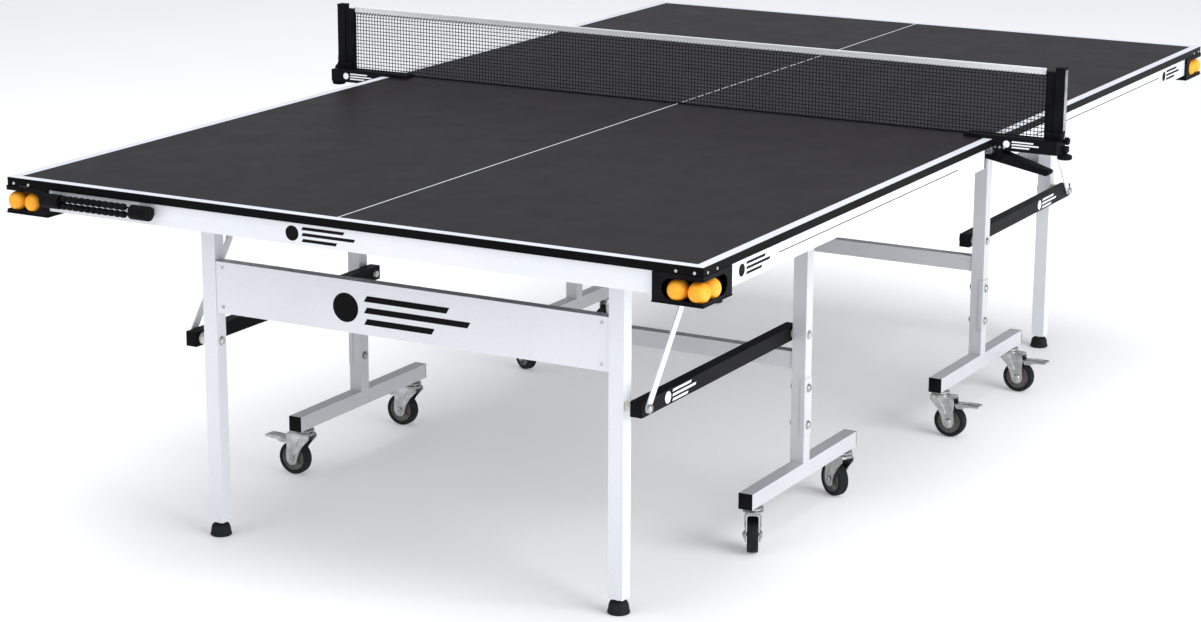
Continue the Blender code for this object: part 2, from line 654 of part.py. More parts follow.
def trolley_frame():
    half = TROLLEY_TUBE / 2
    x = (TROLLEY_X - half, TROLLEY_X + half)
    bar_x = (TROLLEY_X - CROSSBAR_DEPTH / 2, TROLLEY_X + CROSSBAR_DEPTH / 2)
    bar_z = (CROSSBAR_Z - CROSSBAR_HEIGHT / 2, CROSSBAR_Z + CROSSBAR_HEIGHT / 2)
    bar_y = UPRIGHT_IN + TUBE_WALL / 2
    adds = [box(bar_x, (-bar_y, bar_y), bar_z)]
    cuts = [box((bar_x[0] + TUBE_WALL, bar_x[1] - TUBE_WALL), (-UPRIGHT_Y, UPRIGHT_Y),
                (bar_z[0] + TUBE_WALL, bar_z[1] - TUBE_WALL))]
    for side in (-1, 1):
        y = (side * UPRIGHT_Y - half, side * UPRIGHT_Y + half)
        adds.append(box(x, y, (SPLICE_Z + TOUCH, POST_TOP_Z)))
        cuts.append(tube_cut(x, y, (SPLICE_Z - OVERCUT, POST_TOP_Z + OVERCUT), TUBE_WALL))
        for hole_z in (PIVOT_Z, SPLICE_Z + SPLICE_BOLT_RISE):
            cuts.append(across(TROLLEY_X, hole_z, y[0] - OVERCUT, y[1] + OVERCUT, HOLE_RADIUS))
    frame = link_tool(solid(adds, cuts))
    nut_top = BAR_IN - PIN_PLAY
    bolts = []
    for side in (-1, 1):
        bolts.append(across(TROLLEY_X, BAR_Z, side * (nut_top - NUT_DEPTH),
                            side * (UPRIGHT_OUT + BOLT_HEAD / 2), PIN_RADIUS))
        bolts.append(across(TROLLEY_X, BAR_Z, side * (UPRIGHT_OUT - TUBE_WALL / 2),
                            side * (UPRIGHT_OUT + BOLT_HEAD), BOLT_HEAD_RADIUS))
        bolts.append(across(TROLLEY_X, BAR_Z, side * (nut_top - NUT_DEPTH), side * nut_top,
                            BOLT_HEAD_RADIUS, segments=NUT_SIDES))
        bolts.append(across(TROLLEY_X, BAR_Z, side * (BAR_OUT + PIN_PLAY),
                            side * (UPRIGHT_IN + TUBE_WALL / 2), SPACER_RADIUS))
    return node("near_trolley_frame", solid([frame] + bolts), "grey_steel", (TROLLEY_X, 0.0, 0.0))


def trolley_foot(side_name, side):
    half = TROLLEY_TUBE / 2
    y_mid = side * UPRIGHT_Y
    y = (y_mid - half, y_mid + half)
    x = (TROLLEY_X - half, TROLLEY_X + half)
    rail_x = (TROLLEY_X - FOOT_RAIL_LENGTH / 2, TROLLEY_X + FOOT_RAIL_LENGTH / 2)
    sleeve = TUBE_WALL + SLEEVE_PLAY
    sleeve_top = SPLICE_Z + SPLICE_LAP
    adds = [box(rail_x, y, (FOOT_RAIL_BOTTOM, RAIL_TOP)),
            box(x, y, (RAIL_TOP - TUBE_WALL / 2, SPLICE_Z)),
            tube_cut(x, y, (SPLICE_Z - SPLICE_SEAT, sleeve_top), sleeve)]
    cuts = [box((rail_x[0] - OVERCUT, rail_x[1] + OVERCUT), (y[0] + TUBE_WALL, y[1] - TUBE_WALL),
                (FOOT_RAIL_BOTTOM + TUBE_WALL, RAIL_TOP - TUBE_WALL)),
            tube_cut(x, y, (RAIL_TOP - TUBE_WALL - OVERCUT, sleeve_top + OVERCUT),
                     sleeve + TUBE_WALL)]
    foot = link_tool(solid(adds, cuts))
    inside = UPRIGHT_IN - TOUCH
    outside = UPRIGHT_OUT + TOUCH
    bolts = []
    for bolt_z, grip in ((SPLICE_Z - SPLICE_BOLT_RISE, TUBE_WALL + TOUCH),
                         (SPLICE_Z + SPLICE_BOLT_RISE, 0.0)):
        # The lower bolt clamps this tube; the upper one only touches the upright's.
        bolts.append(across(TROLLEY_X, bolt_z, side * (inside - BOLT_HEAD / 2),
                            side * (outside + BOLT_HEAD / 2), PIN_RADIUS))
        bolts.append(across(TROLLEY_X, bolt_z, side * (outside - grip),
                            side * (outside + BOLT_HEAD), BOLT_HEAD_RADIUS))
        bolts.append(across(TROLLEY_X, bolt_z, side * (inside - BOLT_HEAD),
                            side * (inside + grip), BOLT_HEAD_RADIUS, segments=NUT_SIDES))
    return node("near_trolley_foot_" + side_name, solid([foot] + bolts), "grey_steel",
                (TROLLEY_X, y_mid, FOOT_RAIL_BOTTOM))


def side_bar(side_name, side):
    """The black tube that keeps the end legs upright while the half folds."""
    x = (LEG_X - BAR_END, TROLLEY_X + BAR_END)
    y = (side * BAR_Y - BAR_WIDTH / 2, side * BAR_Y + BAR_WIDTH / 2)
    z = (BAR_Z - BAR_HEIGHT / 2, BAR_Z + BAR_HEIGHT / 2)
    bore = box((x[0] - OVERCUT, x[1] + OVERCUT), (y[0] + TUBE_WALL, y[1] - TUBE_WALL),
               (z[0] + TUBE_WALL, z[1] - TUBE_WALL))
    holes = [across(pivot, BAR_Z, y[0] - OVERCUT, y[1] + OVERCUT, HOLE_RADIUS)
             for pivot in (LEG_X, TROLLEY_X)]
    return node("near_side_bar_" + side_name, solid([box(x, y, z)], [bore] + holes),
                "black_steel", (TROLLEY_X, side * BAR_Y, BAR_Z))


# ---------------------------------------------------------------- folding stays
def stay_lower(side_name, side):
    y = (STAY_LOWER_IN, STAY_LOWER_IN + STAY_THICKNESS)
    hole = across(LEG_X, BAR_Z, side * (y[0] - OVERCUT), side * (y[1] + OVERCUT), HOLE_RADIUS)
    link = strap(STAY_BASE, STAY_KNEE_POINT, STAY_LOWER_WIDTH, side * y[0], side * y[1])
    return node("near_stay_lower_" + side_name, solid([link], [hole]), "grey_steel",
                (LEG_X, side * STAY_LOWER_IN, BAR_Z))


def stay_upper(side_name, side):
    y = (STAY_UPPER_IN, STAY_UPPER_OUT)
    hole = across(STAY_HEAD.x, STAY_HEAD.z, side * (y[0] - OVERCUT), side * (y[1] + OVERCUT),
                  HOLE_RADIUS)
    rivet = across(STAY_KNEE_POINT.x, STAY_KNEE_POINT.z, side * (y[0] + STAY_THICKNESS / 2),
                   side * (y[1] + KNEE_RIVET_HEAD), KNEE_RIVET_RADIUS)
    link = strap(STAY_KNEE_POINT, STAY_HEAD, STAY_UPPER_WIDTH, side * y[0], side * y[1])
    return node("near_stay_upper_" + side_name, solid([link, rivet], [hole]), "grey_steel",
                (STAY_HEAD.x, side * STAY_UPPER_IN, STAY_HEAD.z))


# ---------------------------------------------------------------- casters
def caster_fork():
    """Fork whose swivel axis is the Z axis, with its trail along +X."""
    crown_top = CROWN_BOTTOM + FORK_CROWN
    inside = WHEEL_WIDTH / 2 + FORK_SIDE_PLAY
    outside = inside + FORK_PLATE
    leg_x = (CASTER_TRAIL - FORK_LEG / 2, CASTER_TRAIL + FORK_LEG / 2)
    adds = [cone((0, 0, crown_top - OVERLAP), (0, 0, crown_top + SWIVEL_HEIGHT), SWIVEL_RADIUS),
            box((-FORK_BACK, leg_x[1]), (-outside, outside), (CROWN_BOTTOM, crown_top))]
    for side in (-1, 1):
        adds.append(box(leg_x, (side * inside, side * outside),
                        (WHEEL_RADIUS - FORK_LEG_DROP, CROWN_BOTTOM + OVERLAP)))
    adds.append(across(CASTER_TRAIL, WHEEL_RADIUS, -outside - AXLE_END, outside + AXLE_END,
                       AXLE_RADIUS))
    return solid(adds)


def caster_wheel():
    half = WHEEL_WIDTH / 2
    bore = AXLE_RADIUS + PIN_PLAY
    profile = [(bore, half), (WHEEL_RADIUS - WHEEL_EDGE, half), (WHEEL_RADIUS, half - WHEEL_EDGE)]
    profile += [(radius, -height) for radius, height in reversed(profile)]
    wheel = turned(profile, WHEEL_SIDES)
    wheel.data.transform(Matrix.Rotation(math.pi / 2, 4, "X"))
    return solid([wheel])


def brake_pedal():
    """A stepped plate that tips about an axis across the fork, ahead of the wheel."""
    half = PEDAL_WIDTH / 2
    step_x = PEDAL_X + PEDAL_PLATE
    plate = box((PEDAL_X, step_x), (-half, half), (PEDAL_Z - PEDAL_THICKNESS, PEDAL_Z))
    step = box((step_x - OVERLAP, PEDAL_X + PEDAL_LENGTH), (-half, half),
               (PEDAL_Z - PEDAL_THICKNESS + PEDAL_STEP, PEDAL_Z + PEDAL_STEP))
    return solid([plate, step])


def place_casters():
    kinds = (("fork", caster_fork(), "zinc_steel", Vector((0.0, 0.0, WHEEL_RADIUS))),
             ("wheel", caster_wheel(), "caster_tyre", Vector((CASTER_TRAIL, 0.0, WHEEL_RADIUS))),
             ("pedal", brake_pedal(), "zinc_steel", Vector((PEDAL_X, 0.0, PEDAL_Z))))
    for kind, mesh, material, pivot in kinds:
        # The wheel is turned about its own middle; the other meshes are moved to it.
        if kind != "wheel":
            mesh.transform(Matrix.Translation(-pivot))
        mesh.materials.clear()
        mesh.materials.append(MATERIAL[material])
    reach = FOOT_RAIL_LENGTH / 2 - CASTER_INSET
    for (half, side_name, end_name), (heading, braked) in CASTER_HEADINGS.items():
        half_sign = 1 if half == "near" else -1
        side = 1 if side_name == "left" else -1
        end = -1 if end_name == "outer" else 1
        swivel = Vector((TROLLEY_X + end * reach, side * UPRIGHT_Y, 0.0)) * half_sign
        angle = math.radians(heading) + (0.0 if half == "near" else math.pi)
        spin = Matrix.Rotation(angle, 3, "Z")
        for kind, mesh, _, pivot in kinds:
            if kind == "pedal" and not braked:
                continue
            obj = bpy.data.objects.new(f"{half}_caster_{kind}_{side_name}_{end_name}", mesh)
            obj.location = swivel + spin @ pivot
            obj.rotation_euler = (0.0, 0.0, angle)
            PARTS.objects.link(obj)


# ---------------------------------------------------------------- net
def net():
    z0 = TABLE_HEIGHT + NET_LIFT
    sheet = box((-NET_THICKNESS / 2, NET_THICKNESS / 2), (-NET_HALF_LENGTH, NET_HALF_LENGTH),
                (z0, TABLE_HEIGHT + NET_HEIGHT))
    return node("net", solid([sheet]), "net_mesh", (0.0, 0.0, z0))


def bracket_x():
    """The clamp bracket's limits along the table."""
    edge = -NET_THICKNESS / 2 - STAY_PLAY
    return edge - BRACKET_DEPTH, edge


def net_bracket(side_name, side):
    """Clamp bracket with the net post. It grips only the near half, over its net-side rail."""
    x = bracket_x()
    post_x = (-POST_SIZE / 2, POST_SIZE / 2)
    arm_top = TABLE_HEIGHT + BRACKET_THICKNESS
    post = (side * POST_IN, side * POST_OUT)
    body_y = (side * BRACKET_Y0, post[1])
    adds = [box(x, (side * (HALF_WIDTH - BRACKET_ARM), side * POST_IN),
                (TABLE_HEIGHT + TOUCH, arm_top)),
            box(x, body_y, (BRACKET_LOW, arm_top)),
            box((x[0], post_x[1]), body_y, (BRACKET_LOW, TABLE_HEIGHT - TOUCH)),
            box(post_x, post, (BRACKET_LOW, TABLE_HEIGHT + NET_HEIGHT + POST_TOP)),
            box((-SLEEVE_DEPTH / 2, SLEEVE_DEPTH / 2),
                (side * (POST_IN - SLEEVE_WIDTH), side * (POST_IN + OVERLAP)),
                (TABLE_HEIGHT - OVERLAP, TABLE_HEIGHT + NET_HEIGHT - SLEEVE_DROP)),
            cone((x[0] + OVERLAP, side * CLAMP_Y, CLAMP_Z), (x[1] - OVERLAP, side * CLAMP_Y, CLAMP_Z),
                 CLAMP_PIN_RADIUS)]
    lug_y = (side * (CLAMP_Y - LUG_RADIUS), side * (CLAMP_Y + LUG_RADIUS))
    for lug_x in ((x[0], x[0] + LUG_THICKNESS), (x[1] - LUG_THICKNESS, x[1])):
        adds.append(box(lug_x, lug_y, (CLAMP_Z - LUG_RADIUS, BRACKET_LOW + OVERLAP)))
    return node("net_bracket_" + side_name, solid(adds), "black_plastic",
                (0.0, side * POST_Y, TABLE_HEIGHT))


def clamp_lever(side_name, side):
    """A sprung lever: its nose holds the net-side rail from below, its handle opens it."""
    x = bracket_x()
    lever_x = (x[0] + LUG_THICKNESS + LEVER_PLAY, x[1] - LUG_THICKNESS - LEVER_PLAY)
    corner = LEVER_HUB * math.sqrt(0.5)
    tip_y = HALF_WIDTH + LEVER_REACH
    tip_top = BRACKET_LOW - LEVER_DROP
    nose_y = HALF_WIDTH - NOSE_REACH
    outline = [(nose_y, NOSE_TOP), (CLAMP_Y - LEVER_HUB, NOSE_TOP),
               (CLAMP_Y - corner, CLAMP_Z + corner), (CLAMP_Y, CLAMP_Z + LEVER_HUB),
               (tip_y - LEVER_TIP_CHAMFER, tip_top + LEVER_TIP_CHAMFER), (tip_y, tip_top),
               (tip_y - LEVER_TIP_CHAMFER, tip_top - LEVER_TIP),
               (nose_y, NOSE_TOP - NOSE_THICKNESS)]
    pin = cone((x[0], side * CLAMP_Y, CLAMP_Z), (x[1], side * CLAMP_Y, CLAMP_Z),
               CLAMP_PIN_RADIUS + PIN_PLAY)
    return node("net_clamp_lever_" + side_name, solid([prism(outline, side, lever_x)], [pin]),
                "black_plastic", (0.0, side * CLAMP_Y, CLAMP_Z))


# ---------------------------------------------------------------- scorer
def scorer_rack():
    reach = SCORER_LENGTH / 2
    adds = []
    for end in (-1, 1):
        y0 = SCORER_Y + end * reach
        y1 = y0 + end * SCORER_CAP_LENGTH
        inset = end * SCORER_STEM_INSET
        adds.append(across(SCORER_X, SCORER_Z, y0, y1, SCORER_CAP_RADIUS, segments=WHEEL_SIDES))
        adds.append(box((SCORER_X, END_X + APRON_INSET - TOUCH), (y0 + inset, y1 - inset),
                        (SCORER_Z - SCORER_STEM / 2, SCORER_Z + SCORER_STEM / 2)))
    for row in (-1, 1):
        adds.append(across(SCORER_X, SCORER_Z + row * SCORER_ROD_SPACING / 2,
                           SCORER_Y - reach - OVERLAP, SCORER_Y + reach + OVERLAP,
                           SCORER_ROD_RADIUS, segments=BEAD_SIDES))
    return node("scorer_rack", solid(adds), "black_plastic", (SCORER_X, SCORER_Y, SCORER_Z))


def scorer_beads(row_name, row):
    bore = SCORER_ROD_RADIUS + BEAD_BORE_PLAY
    half = BEAD_COUNT * BEAD_PITCH / 2
    crown = 0.3 * BEAD_PITCH            # bead's end to its widest ring
    profile = [(bore, half), (BEAD_NECK_RADIUS, half)]
    for bead in range(BEAD_COUNT):
        top = half - bead * BEAD_PITCH
        bottom = top - BEAD_PITCH
        profile.append((BEAD_RADIUS, top - crown))
        profile.append((BEAD_RADIUS, bottom + crown))
        profile.append((BEAD_NECK_RADIUS, bottom))
    profile.append((bore, -half))
    string = turned(profile, BEAD_SIDES)
    start_y = SCORER_Y + SCORER_LENGTH / 2 - BEAD_END_PLAY - half
    place = Vector((SCORER_X, start_y, SCORER_Z + row * SCORER_ROD_SPACING / 2))
    string.data.transform(Matrix.Translation(place) @ Matrix.Rotation(math.pi / 2, 4, "X"))
    return node("scorer_beads_" + row_name, solid([string]), "black_plastic", place)


# ---------------------------------------------------------------- assembly
def build():
    near = [panel(), apron_frame(), leg_frame(), trolley_frame()]
    for side_name, side in (("left", 1), ("right", -1)):
        for piece in (ball_holder, leveller, trolley_foot, side_bar, stay_lower, stay_upper):
            near.append(piece(side_name, side))
        net_bracket(side_name, side)
        clamp_lever(side_name, side)
    for obj in near:
        far_copy(obj)
    place_casters()
    net()
    scorer_rack()
    scorer_beads("upper", 1)
    scorer_beads("lower", -1)


build()
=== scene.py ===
import json
import math

import bmesh
import bpy
from mathutils import Matrix, Vector


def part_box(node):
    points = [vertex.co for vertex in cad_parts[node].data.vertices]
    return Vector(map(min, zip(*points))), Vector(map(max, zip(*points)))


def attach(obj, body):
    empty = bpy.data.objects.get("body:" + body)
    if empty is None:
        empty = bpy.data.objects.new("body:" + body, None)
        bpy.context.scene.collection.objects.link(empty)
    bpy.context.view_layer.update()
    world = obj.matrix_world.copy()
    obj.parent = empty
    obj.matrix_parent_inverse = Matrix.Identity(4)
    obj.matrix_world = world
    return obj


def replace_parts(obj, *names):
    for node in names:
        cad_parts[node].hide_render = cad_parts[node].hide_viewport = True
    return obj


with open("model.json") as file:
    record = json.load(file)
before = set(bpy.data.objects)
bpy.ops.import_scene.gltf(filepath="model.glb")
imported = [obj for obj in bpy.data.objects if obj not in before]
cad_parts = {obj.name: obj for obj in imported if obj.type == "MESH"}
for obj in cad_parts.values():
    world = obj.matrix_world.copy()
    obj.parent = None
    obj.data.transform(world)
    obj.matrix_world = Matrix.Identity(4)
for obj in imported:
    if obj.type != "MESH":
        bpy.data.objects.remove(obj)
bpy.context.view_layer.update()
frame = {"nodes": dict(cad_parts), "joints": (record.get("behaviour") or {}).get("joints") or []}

MM = 0.001
SCENE = bpy.context.scene
SIDES = (("left", 1), ("right", -1))
HALVES = ("near", "far")
HALF_TURN = Matrix.Rotation(math.pi, 4, "Z")

# Takes a shape drawn in XY to XZ.
UPRIGHT = Matrix(((1, 0, 0, 0), (0, 0, 1, 0), (0, 1, 0, 0), (0, 0, 0, 1)))

# Sizes of the object that the frame doesn't give directly.
LINE_WIDTH = 20 * MM
CENTRE_LINE = 3 * MM
PAINT = 0.15 * MM
BALL_RADIUS = 20 * MM
SPLICE_SHEET = 1.5 * MM
# Places along X, on the near half.
END_PANEL_FACE = -1.1275
LEG_X = -1.115
SIDE_RAIL_END = -0.0655
# Distances from the table's long axis, on either side of it.
LEG_INSIDE, LEG_OUTSIDE = 0.447, 0.479
BAR_FACE = 0.5205
POST_INSIDE, POST_MIDDLE, POST_OUTSIDE = 0.526, 0.541, 0.556
RIVET_SEAT = 0.5269
STAY_FACE = 0.527
ARM_INNER_END = 0.7
SIDE_RAIL_FACE = 0.7585
# Heights above the floor, and the middle of the apron's outer faces below the panel.
SPLICE_BOLTS = (0.221, 0.299)
BAR_HEIGHT = 0.411
ARM_TOP = 0.765
RAIL_MIDDLE = 21 * MM


# ---------------------------------------------------------------- materials
class Shader:
    """A Principled material with procedural nodes in object space."""

    def __init__(self, name, **constants):
        self.material = bpy.data.materials.new(name)
        self.material.use_nodes = True
        self.tree = self.material.node_tree
        self.principled = self.tree.nodes["Principled BSDF"]
        for socket, value in constants.items():
            self.principled.inputs[socket.replace("_", " ")].default_value = value
        self.place = self.tree.nodes.new("ShaderNodeTexCoord").outputs["Object"]

    def node(self, kind, **values):
        made = self.tree.nodes.new("ShaderNode" + kind)
        for key, value in values.items():
            if hasattr(made, key):
                setattr(made, key, value)
            else:
                made.inputs[key.replace("_", " ")].default_value = value
        return made

    def link(self, source, target):
        self.tree.links.new(source, target)

    def noise(self, size, detail=2.0, stretch=None, roughness=0.5):
        """Noise whose features are about the given size in metres."""
        made = self.node("TexNoise", Scale=1.0 / size, Detail=detail, Roughness=roughness)
        if stretch is None:
            self.link(self.place, made.inputs["Vector"])
        else:
            mapping = self.node("Mapping")
            mapping.inputs["Scale"].default_value = stretch
            self.link(self.place, mapping.inputs["Vector"])
            self.link(mapping.outputs["Vector"], made.inputs["Vector"])
        return made.outputs["Fac"]

    def ramp(self, source, low, high):
        """Turns the middle of a 0 to 1 signal into the range low to high."""
        made = self.node("MapRange")
        made.inputs["From Min"].default_value = 0.3
        made.inputs["From Max"].default_value = 0.7
        made.inputs["To Min"].default_value = low
        made.inputs["To Max"].default_value = high
        self.link(source, made.inputs["Value"])
        return made.outputs["Result"]

    def mix(self, share, first, second):
        made = self.node("Mix", data_type="RGBA")
        self.link(share, made.inputs["Factor"])
        for socket, colour in ((6, first), (7, second)):
            if isinstance(colour, tuple):
                made.inputs[socket].default_value = (*colour, 1.0)
            else:
                self.link(colour, made.inputs[socket])
        return made.outputs[2]

    def finish(self, colour, roughness, bump=None, height=0.0, strength=1.0):
        self.link(colour, self.principled.inputs["Base Color"])
        self.link(roughness, self.principled.inputs["Roughness"])
        if bump is not None:
            made = self.node("Bump", Distance=height, Strength=strength)
            self.link(bump, made.inputs["Height"])
            self.link(made.outputs["Normal"], self.principled.inputs["Normal"])
        return self.material


def coated(name, dark, light, roughness, grain, height, cloud=0.25, **constants):
    """Paint or plastic: cloudy colour, uneven gloss and a fine bump."""
    shader = Shader(name, **constants)
    fine = shader.noise(grain, detail=3.0)
    broad = shader.noise(cloud, detail=4.0)
    colour = shader.mix(shader.ramp(broad, 0.0, 1.0), dark, light)
    return shader.finish(colour, shader.ramp(fine, roughness[0], roughness[1]), fine, height)


def table_coating():
    """Charcoal top coat: fine speckle, faint lighter streaks along its length that are painted
    reflections, and ball scuffs in its gloss.
    """
    shader = Shader("charcoal_top", IOR=1.16, Specular_IOR_Level=0.5)
    speckle = shader.noise(0.0016, detail=2.0)
    painted_reflection_streak = shader.noise(0.05, detail=3.0, stretch=(0.12, 1.0, 1.0))
    scuff = shader.noise(0.11, detail=6.0, roughness=0.65)
    base = shader.mix(shader.ramp(speckle, 0.0, 1.0), (0.0085, 0.0070, 0.0085),
                      (0.0155, 0.0130, 0.0150))
    # Painted reflection: lighter streaks stretched along X, mixed into the base colour.
    base = shader.mix(shader.ramp(painted_reflection_streak, 0.0, 0.35), base, (0.0165, 0.0140, 0.0155))
    gloss = shader.ramp(scuff, 0.40, 0.47)
    return shader.finish(base, gloss, speckle, 0.05 * MM, 0.55)


def zinc_plate():
    shader = Shader("zinc", Metallic=1.0)
    cloud = shader.noise(0.018, detail=5.0)
    brush = shader.noise(0.0012, detail=2.0, stretch=(1.0, 0.15, 1.0))
    colour = shader.mix(shader.ramp(cloud, 0.0, 1.0), (0.34, 0.36, 0.365), (0.60, 0.60, 0.575))
    return shader.finish(colour, shader.ramp(cloud, 0.20, 0.36), brush, 0.02 * MM, 0.6)


def ball_shell():
    shader = Shader("ball_celluloid", Subsurface_Weight=0.25, Subsurface_Scale=0.004,
                    Specular_IOR_Level=0.35)
    shader.principled.inputs["Subsurface Radius"].default_value = (1.0, 0.4, 0.1)
    cloud = shader.noise(0.014, detail=3.0)
    fine = shader.noise(0.0008, detail=2.0)
    colour = shader.mix(shader.ramp(cloud, 0.0, 1.0), (0.93, 0.36, 0.012), (1.0, 0.46, 0.03))
    return shader.finish(colour, shader.ramp(fine, 0.38, 0.5), fine, 0.01 * MM, 0.6)


def woven(name, dark, light, pitch, gloss=(0.75, 0.95), height=0.12 * MM):
    """Cloth: two crossing sets of yarns of the given pitch, in object space."""
    shader = Shader(name, Sheen_Weight=0.08, Sheen_Roughness=0.5, IOR=1.25)
    yarns = []
    for direction in ("Y", "Z"):
        wave = shader.node("TexWave", wave_type="BANDS", bands_direction=direction,
                           wave_profile="SIN", Scale=0.31416 / pitch, Distortion=0.6)
        shader.link(shader.place, wave.inputs["Vector"])
        yarns.append(wave.outputs["Fac"])
    cross = shader.node("Math", operation="MULTIPLY")
    shader.link(yarns[0], cross.inputs[0])
    shader.link(yarns[1], cross.inputs[1])
    cloud = shader.noise(0.02, detail=4.0)
    colour = shader.mix(shader.ramp(cloud, 0.0, 1.0), dark, light)
    shaded = shader.mix(cross.outputs[0], tuple(0.82 * c for c in dark), colour)
    return shader.finish(shaded, shader.ramp(cloud, gloss[0], gloss[1]), cross.outputs[0], height)


FINISH = {
    "top": table_coating(),
    "line": coated("line_paint", (0.60, 0.63, 0.69), (0.68, 0.71, 0.77), (0.38, 0.52),
                   0.0018, 0.03 * MM),
    "white": coated("white_powder_coat", (0.73, 0.75, 0.795), (0.80, 0.82, 0.855), (0.24, 0.36),
                    0.0022, 0.05 * MM, cloud=0.4, Coat_Weight=0.25, Coat_Roughness=0.15),
    "grey": coated("silver_powder_coat", (0.50, 0.51, 0.54), (0.58, 0.59, 0.62), (0.28, 0.42),
                   0.0018, 0.05 * MM, cloud=0.3, Coat_Weight=0.2, Coat_Roughness=0.2),
    "black": coated("black_powder_coat", (0.004, 0.004, 0.004), (0.008, 0.008, 0.009),
                    (0.34, 0.48), 0.0016, 0.05 * MM, IOR=1.12),
    "plastic": coated("moulded_black", (0.004, 0.004, 0.005), (0.009, 0.009, 0.010),
                      (0.40, 0.58), 0.0009, 0.05 * MM, cloud=0.05, IOR=1.12),
    "band": coated("edge_band_black", (0.003, 0.003, 0.003), (0.006, 0.006, 0.006),
                   (0.34, 0.48), 0.0030, 0.04 * MM, cloud=0.2, IOR=1.1),
    "rubber": coated("black_rubber", (0.008, 0.010, 0.010), (0.018, 0.021, 0.021),
                     (0.60, 0.82), 0.0014, 0.09 * MM, cloud=0.012, IOR=1.25),
    "hub": coated("grey_nylon_hub", (0.10, 0.095, 0.088), (0.15, 0.145, 0.135), (0.40, 0.55),
                  0.0012, 0.04 * MM, cloud=0.01),
    "nylon": coated("white_nylon", (0.66, 0.63, 0.55), (0.76, 0.74, 0.67), (0.35, 0.5),
                    0.0010, 0.03 * MM, cloud=0.01, Subsurface_Weight=0.1),
    "mark_dark": coated("mark_black", (0.004, 0.004, 0.004), (0.009, 0.009, 0.009),
                        (0.40, 0.52), 0.0012, 0.02 * MM, IOR=1.12),
    "mark_light": coated("mark_white", (0.76, 0.77, 0.78), (0.84, 0.85, 0.86), (0.34, 0.46),
                         0.0012, 0.02 * MM),
    "zinc": zinc_plate(),
    "ball": ball_shell(),
    "thread": woven("net_thread", (0.004, 0.004, 0.004), (0.010, 0.010, 0.011), 0.0006),
    "tape": woven("tape_cotton", (0.82, 0.83, 0.85), (0.90, 0.91, 0.93), 0.0012),
}


# ---------------------------------------------------------------- mesh helpers
def link_piece(name, mesh, finish, body, matrix=None, smooth=35.0):
    obj = bpy.data.objects.new(name, mesh)
    SCENE.collection.objects.link(obj)
    if not mesh.materials:
        mesh.materials.append(FINISH[finish])
        if smooth:
            mesh.shade_smooth()
            mesh.set_sharp_from_angle(angle=math.radians(smooth))
    if matrix is not None:
        obj.matrix_world = matrix
    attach(obj, body)
    return obj


def to_mesh(bm, name="piece"):
    bmesh.ops.recalc_face_normals(bm, faces=bm.faces)
    mesh = bpy.data.meshes.new(name)
    bm.to_mesh(mesh)
    bm.free()
    return mesh


def halves(name, mesh, finish, body, matrix=None, smooth=35.0, stands_for=None):
    """The same piece on both halves; body and stands_for are names without the half."""
    made = []
    for half in HALVES:
        turn = Matrix.Identity(4) if half == "near" else HALF_TURN
        place = turn @ (matrix if matrix is not None else Matrix.Identity(4))
        obj = link_piece(f"{half}_{name}", mesh, finish, f"{half}_{body}", place, smooth)
        if stands_for:
            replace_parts(obj, f"{half}_{stands_for}")
        made.append(obj)
    return made


def add_block(bm, x, y, z, bevel=0.0, segments=2, matrix=None):
    """A box between limits, with rounded edges, joined into bm."""
    part = bmesh.new()
    bmesh.ops.create_cube(part, size=1.0)
    limits = [sorted(pair) for pair in (x, y, z)]
    for vert in part.verts:
        vert.co = [limits[axis][1 if vert.co[axis] > 0 else 0] for axis in range(3)]
    if bevel:
        bmesh.ops.bevel(part, geom=part.edges, offset=bevel, segments=segments, profile=0.5,
                        affect="EDGES", clamp_overlap=True)
    merge(bm, part, matrix)


def merge(bm, part, matrix=None):
    if matrix is not None:
        bmesh.ops.transform(part, matrix=matrix, verts=part.verts)
    scratch = bpy.data.meshes.new("scratch")
    part.to_mesh(scratch)
    part.free()
    bm.from_mesh(scratch)
    bpy.data.meshes.remove(scratch)


def add_lathe(bm, profile, steps=32, matrix=None):
    """Turns a (radius, height) profile about Z; ends at radius 0 close to a point."""
    part = bmesh.new()
    rings = []
    for radius, height in profile:
        if radius < 1e-6:
            rings.append([part.verts.new((0.0, 0.0, height))])
        else:
            rings.append([part.verts.new((radius * math.cos(math.tau * k / steps),
                                          radius * math.sin(math.tau * k / steps), height))
                          for k in range(steps)])
    for first, second in zip(rings, rings[1:]):
        for k in range(steps):
            after = (k + 1) % steps
            corners = [first[k % len(first)], first[after % len(first)],
                       second[after % len(second)], second[k % len(second)]]
            unique = list(dict.fromkeys(corners))
            if len(unique) > 2:
                part.faces.new(unique)
    merge(bm, part, matrix)


def add_plate(bm, outline, low, high, bevel=0.0, matrix=None):
    """Extrudes an XY outline between two heights, with its rims rounded."""
    part = bmesh.new()
    bottom = [part.verts.new((x, y, low)) for x, y in outline]
    top = [part.verts.new((x, y, high)) for x, y in outline]
    part.faces.new(bottom[::-1])
    part.faces.new(top)
    count = len(outline)
    for k in range(count):
        part.faces.new((bottom[k], bottom[(k + 1) % count], top[(k + 1) % count], top[k]))
    if bevel:
        rims = [e for e in part.edges if abs(e.verts[0].co.z - e.verts[1].co.z) < 1e-7]
        bmesh.ops.bevel(part, geom=rims, offset=bevel, segments=2, profile=0.5, affect="EDGES",
                        clamp_overlap=True)
    merge(bm, part, matrix)


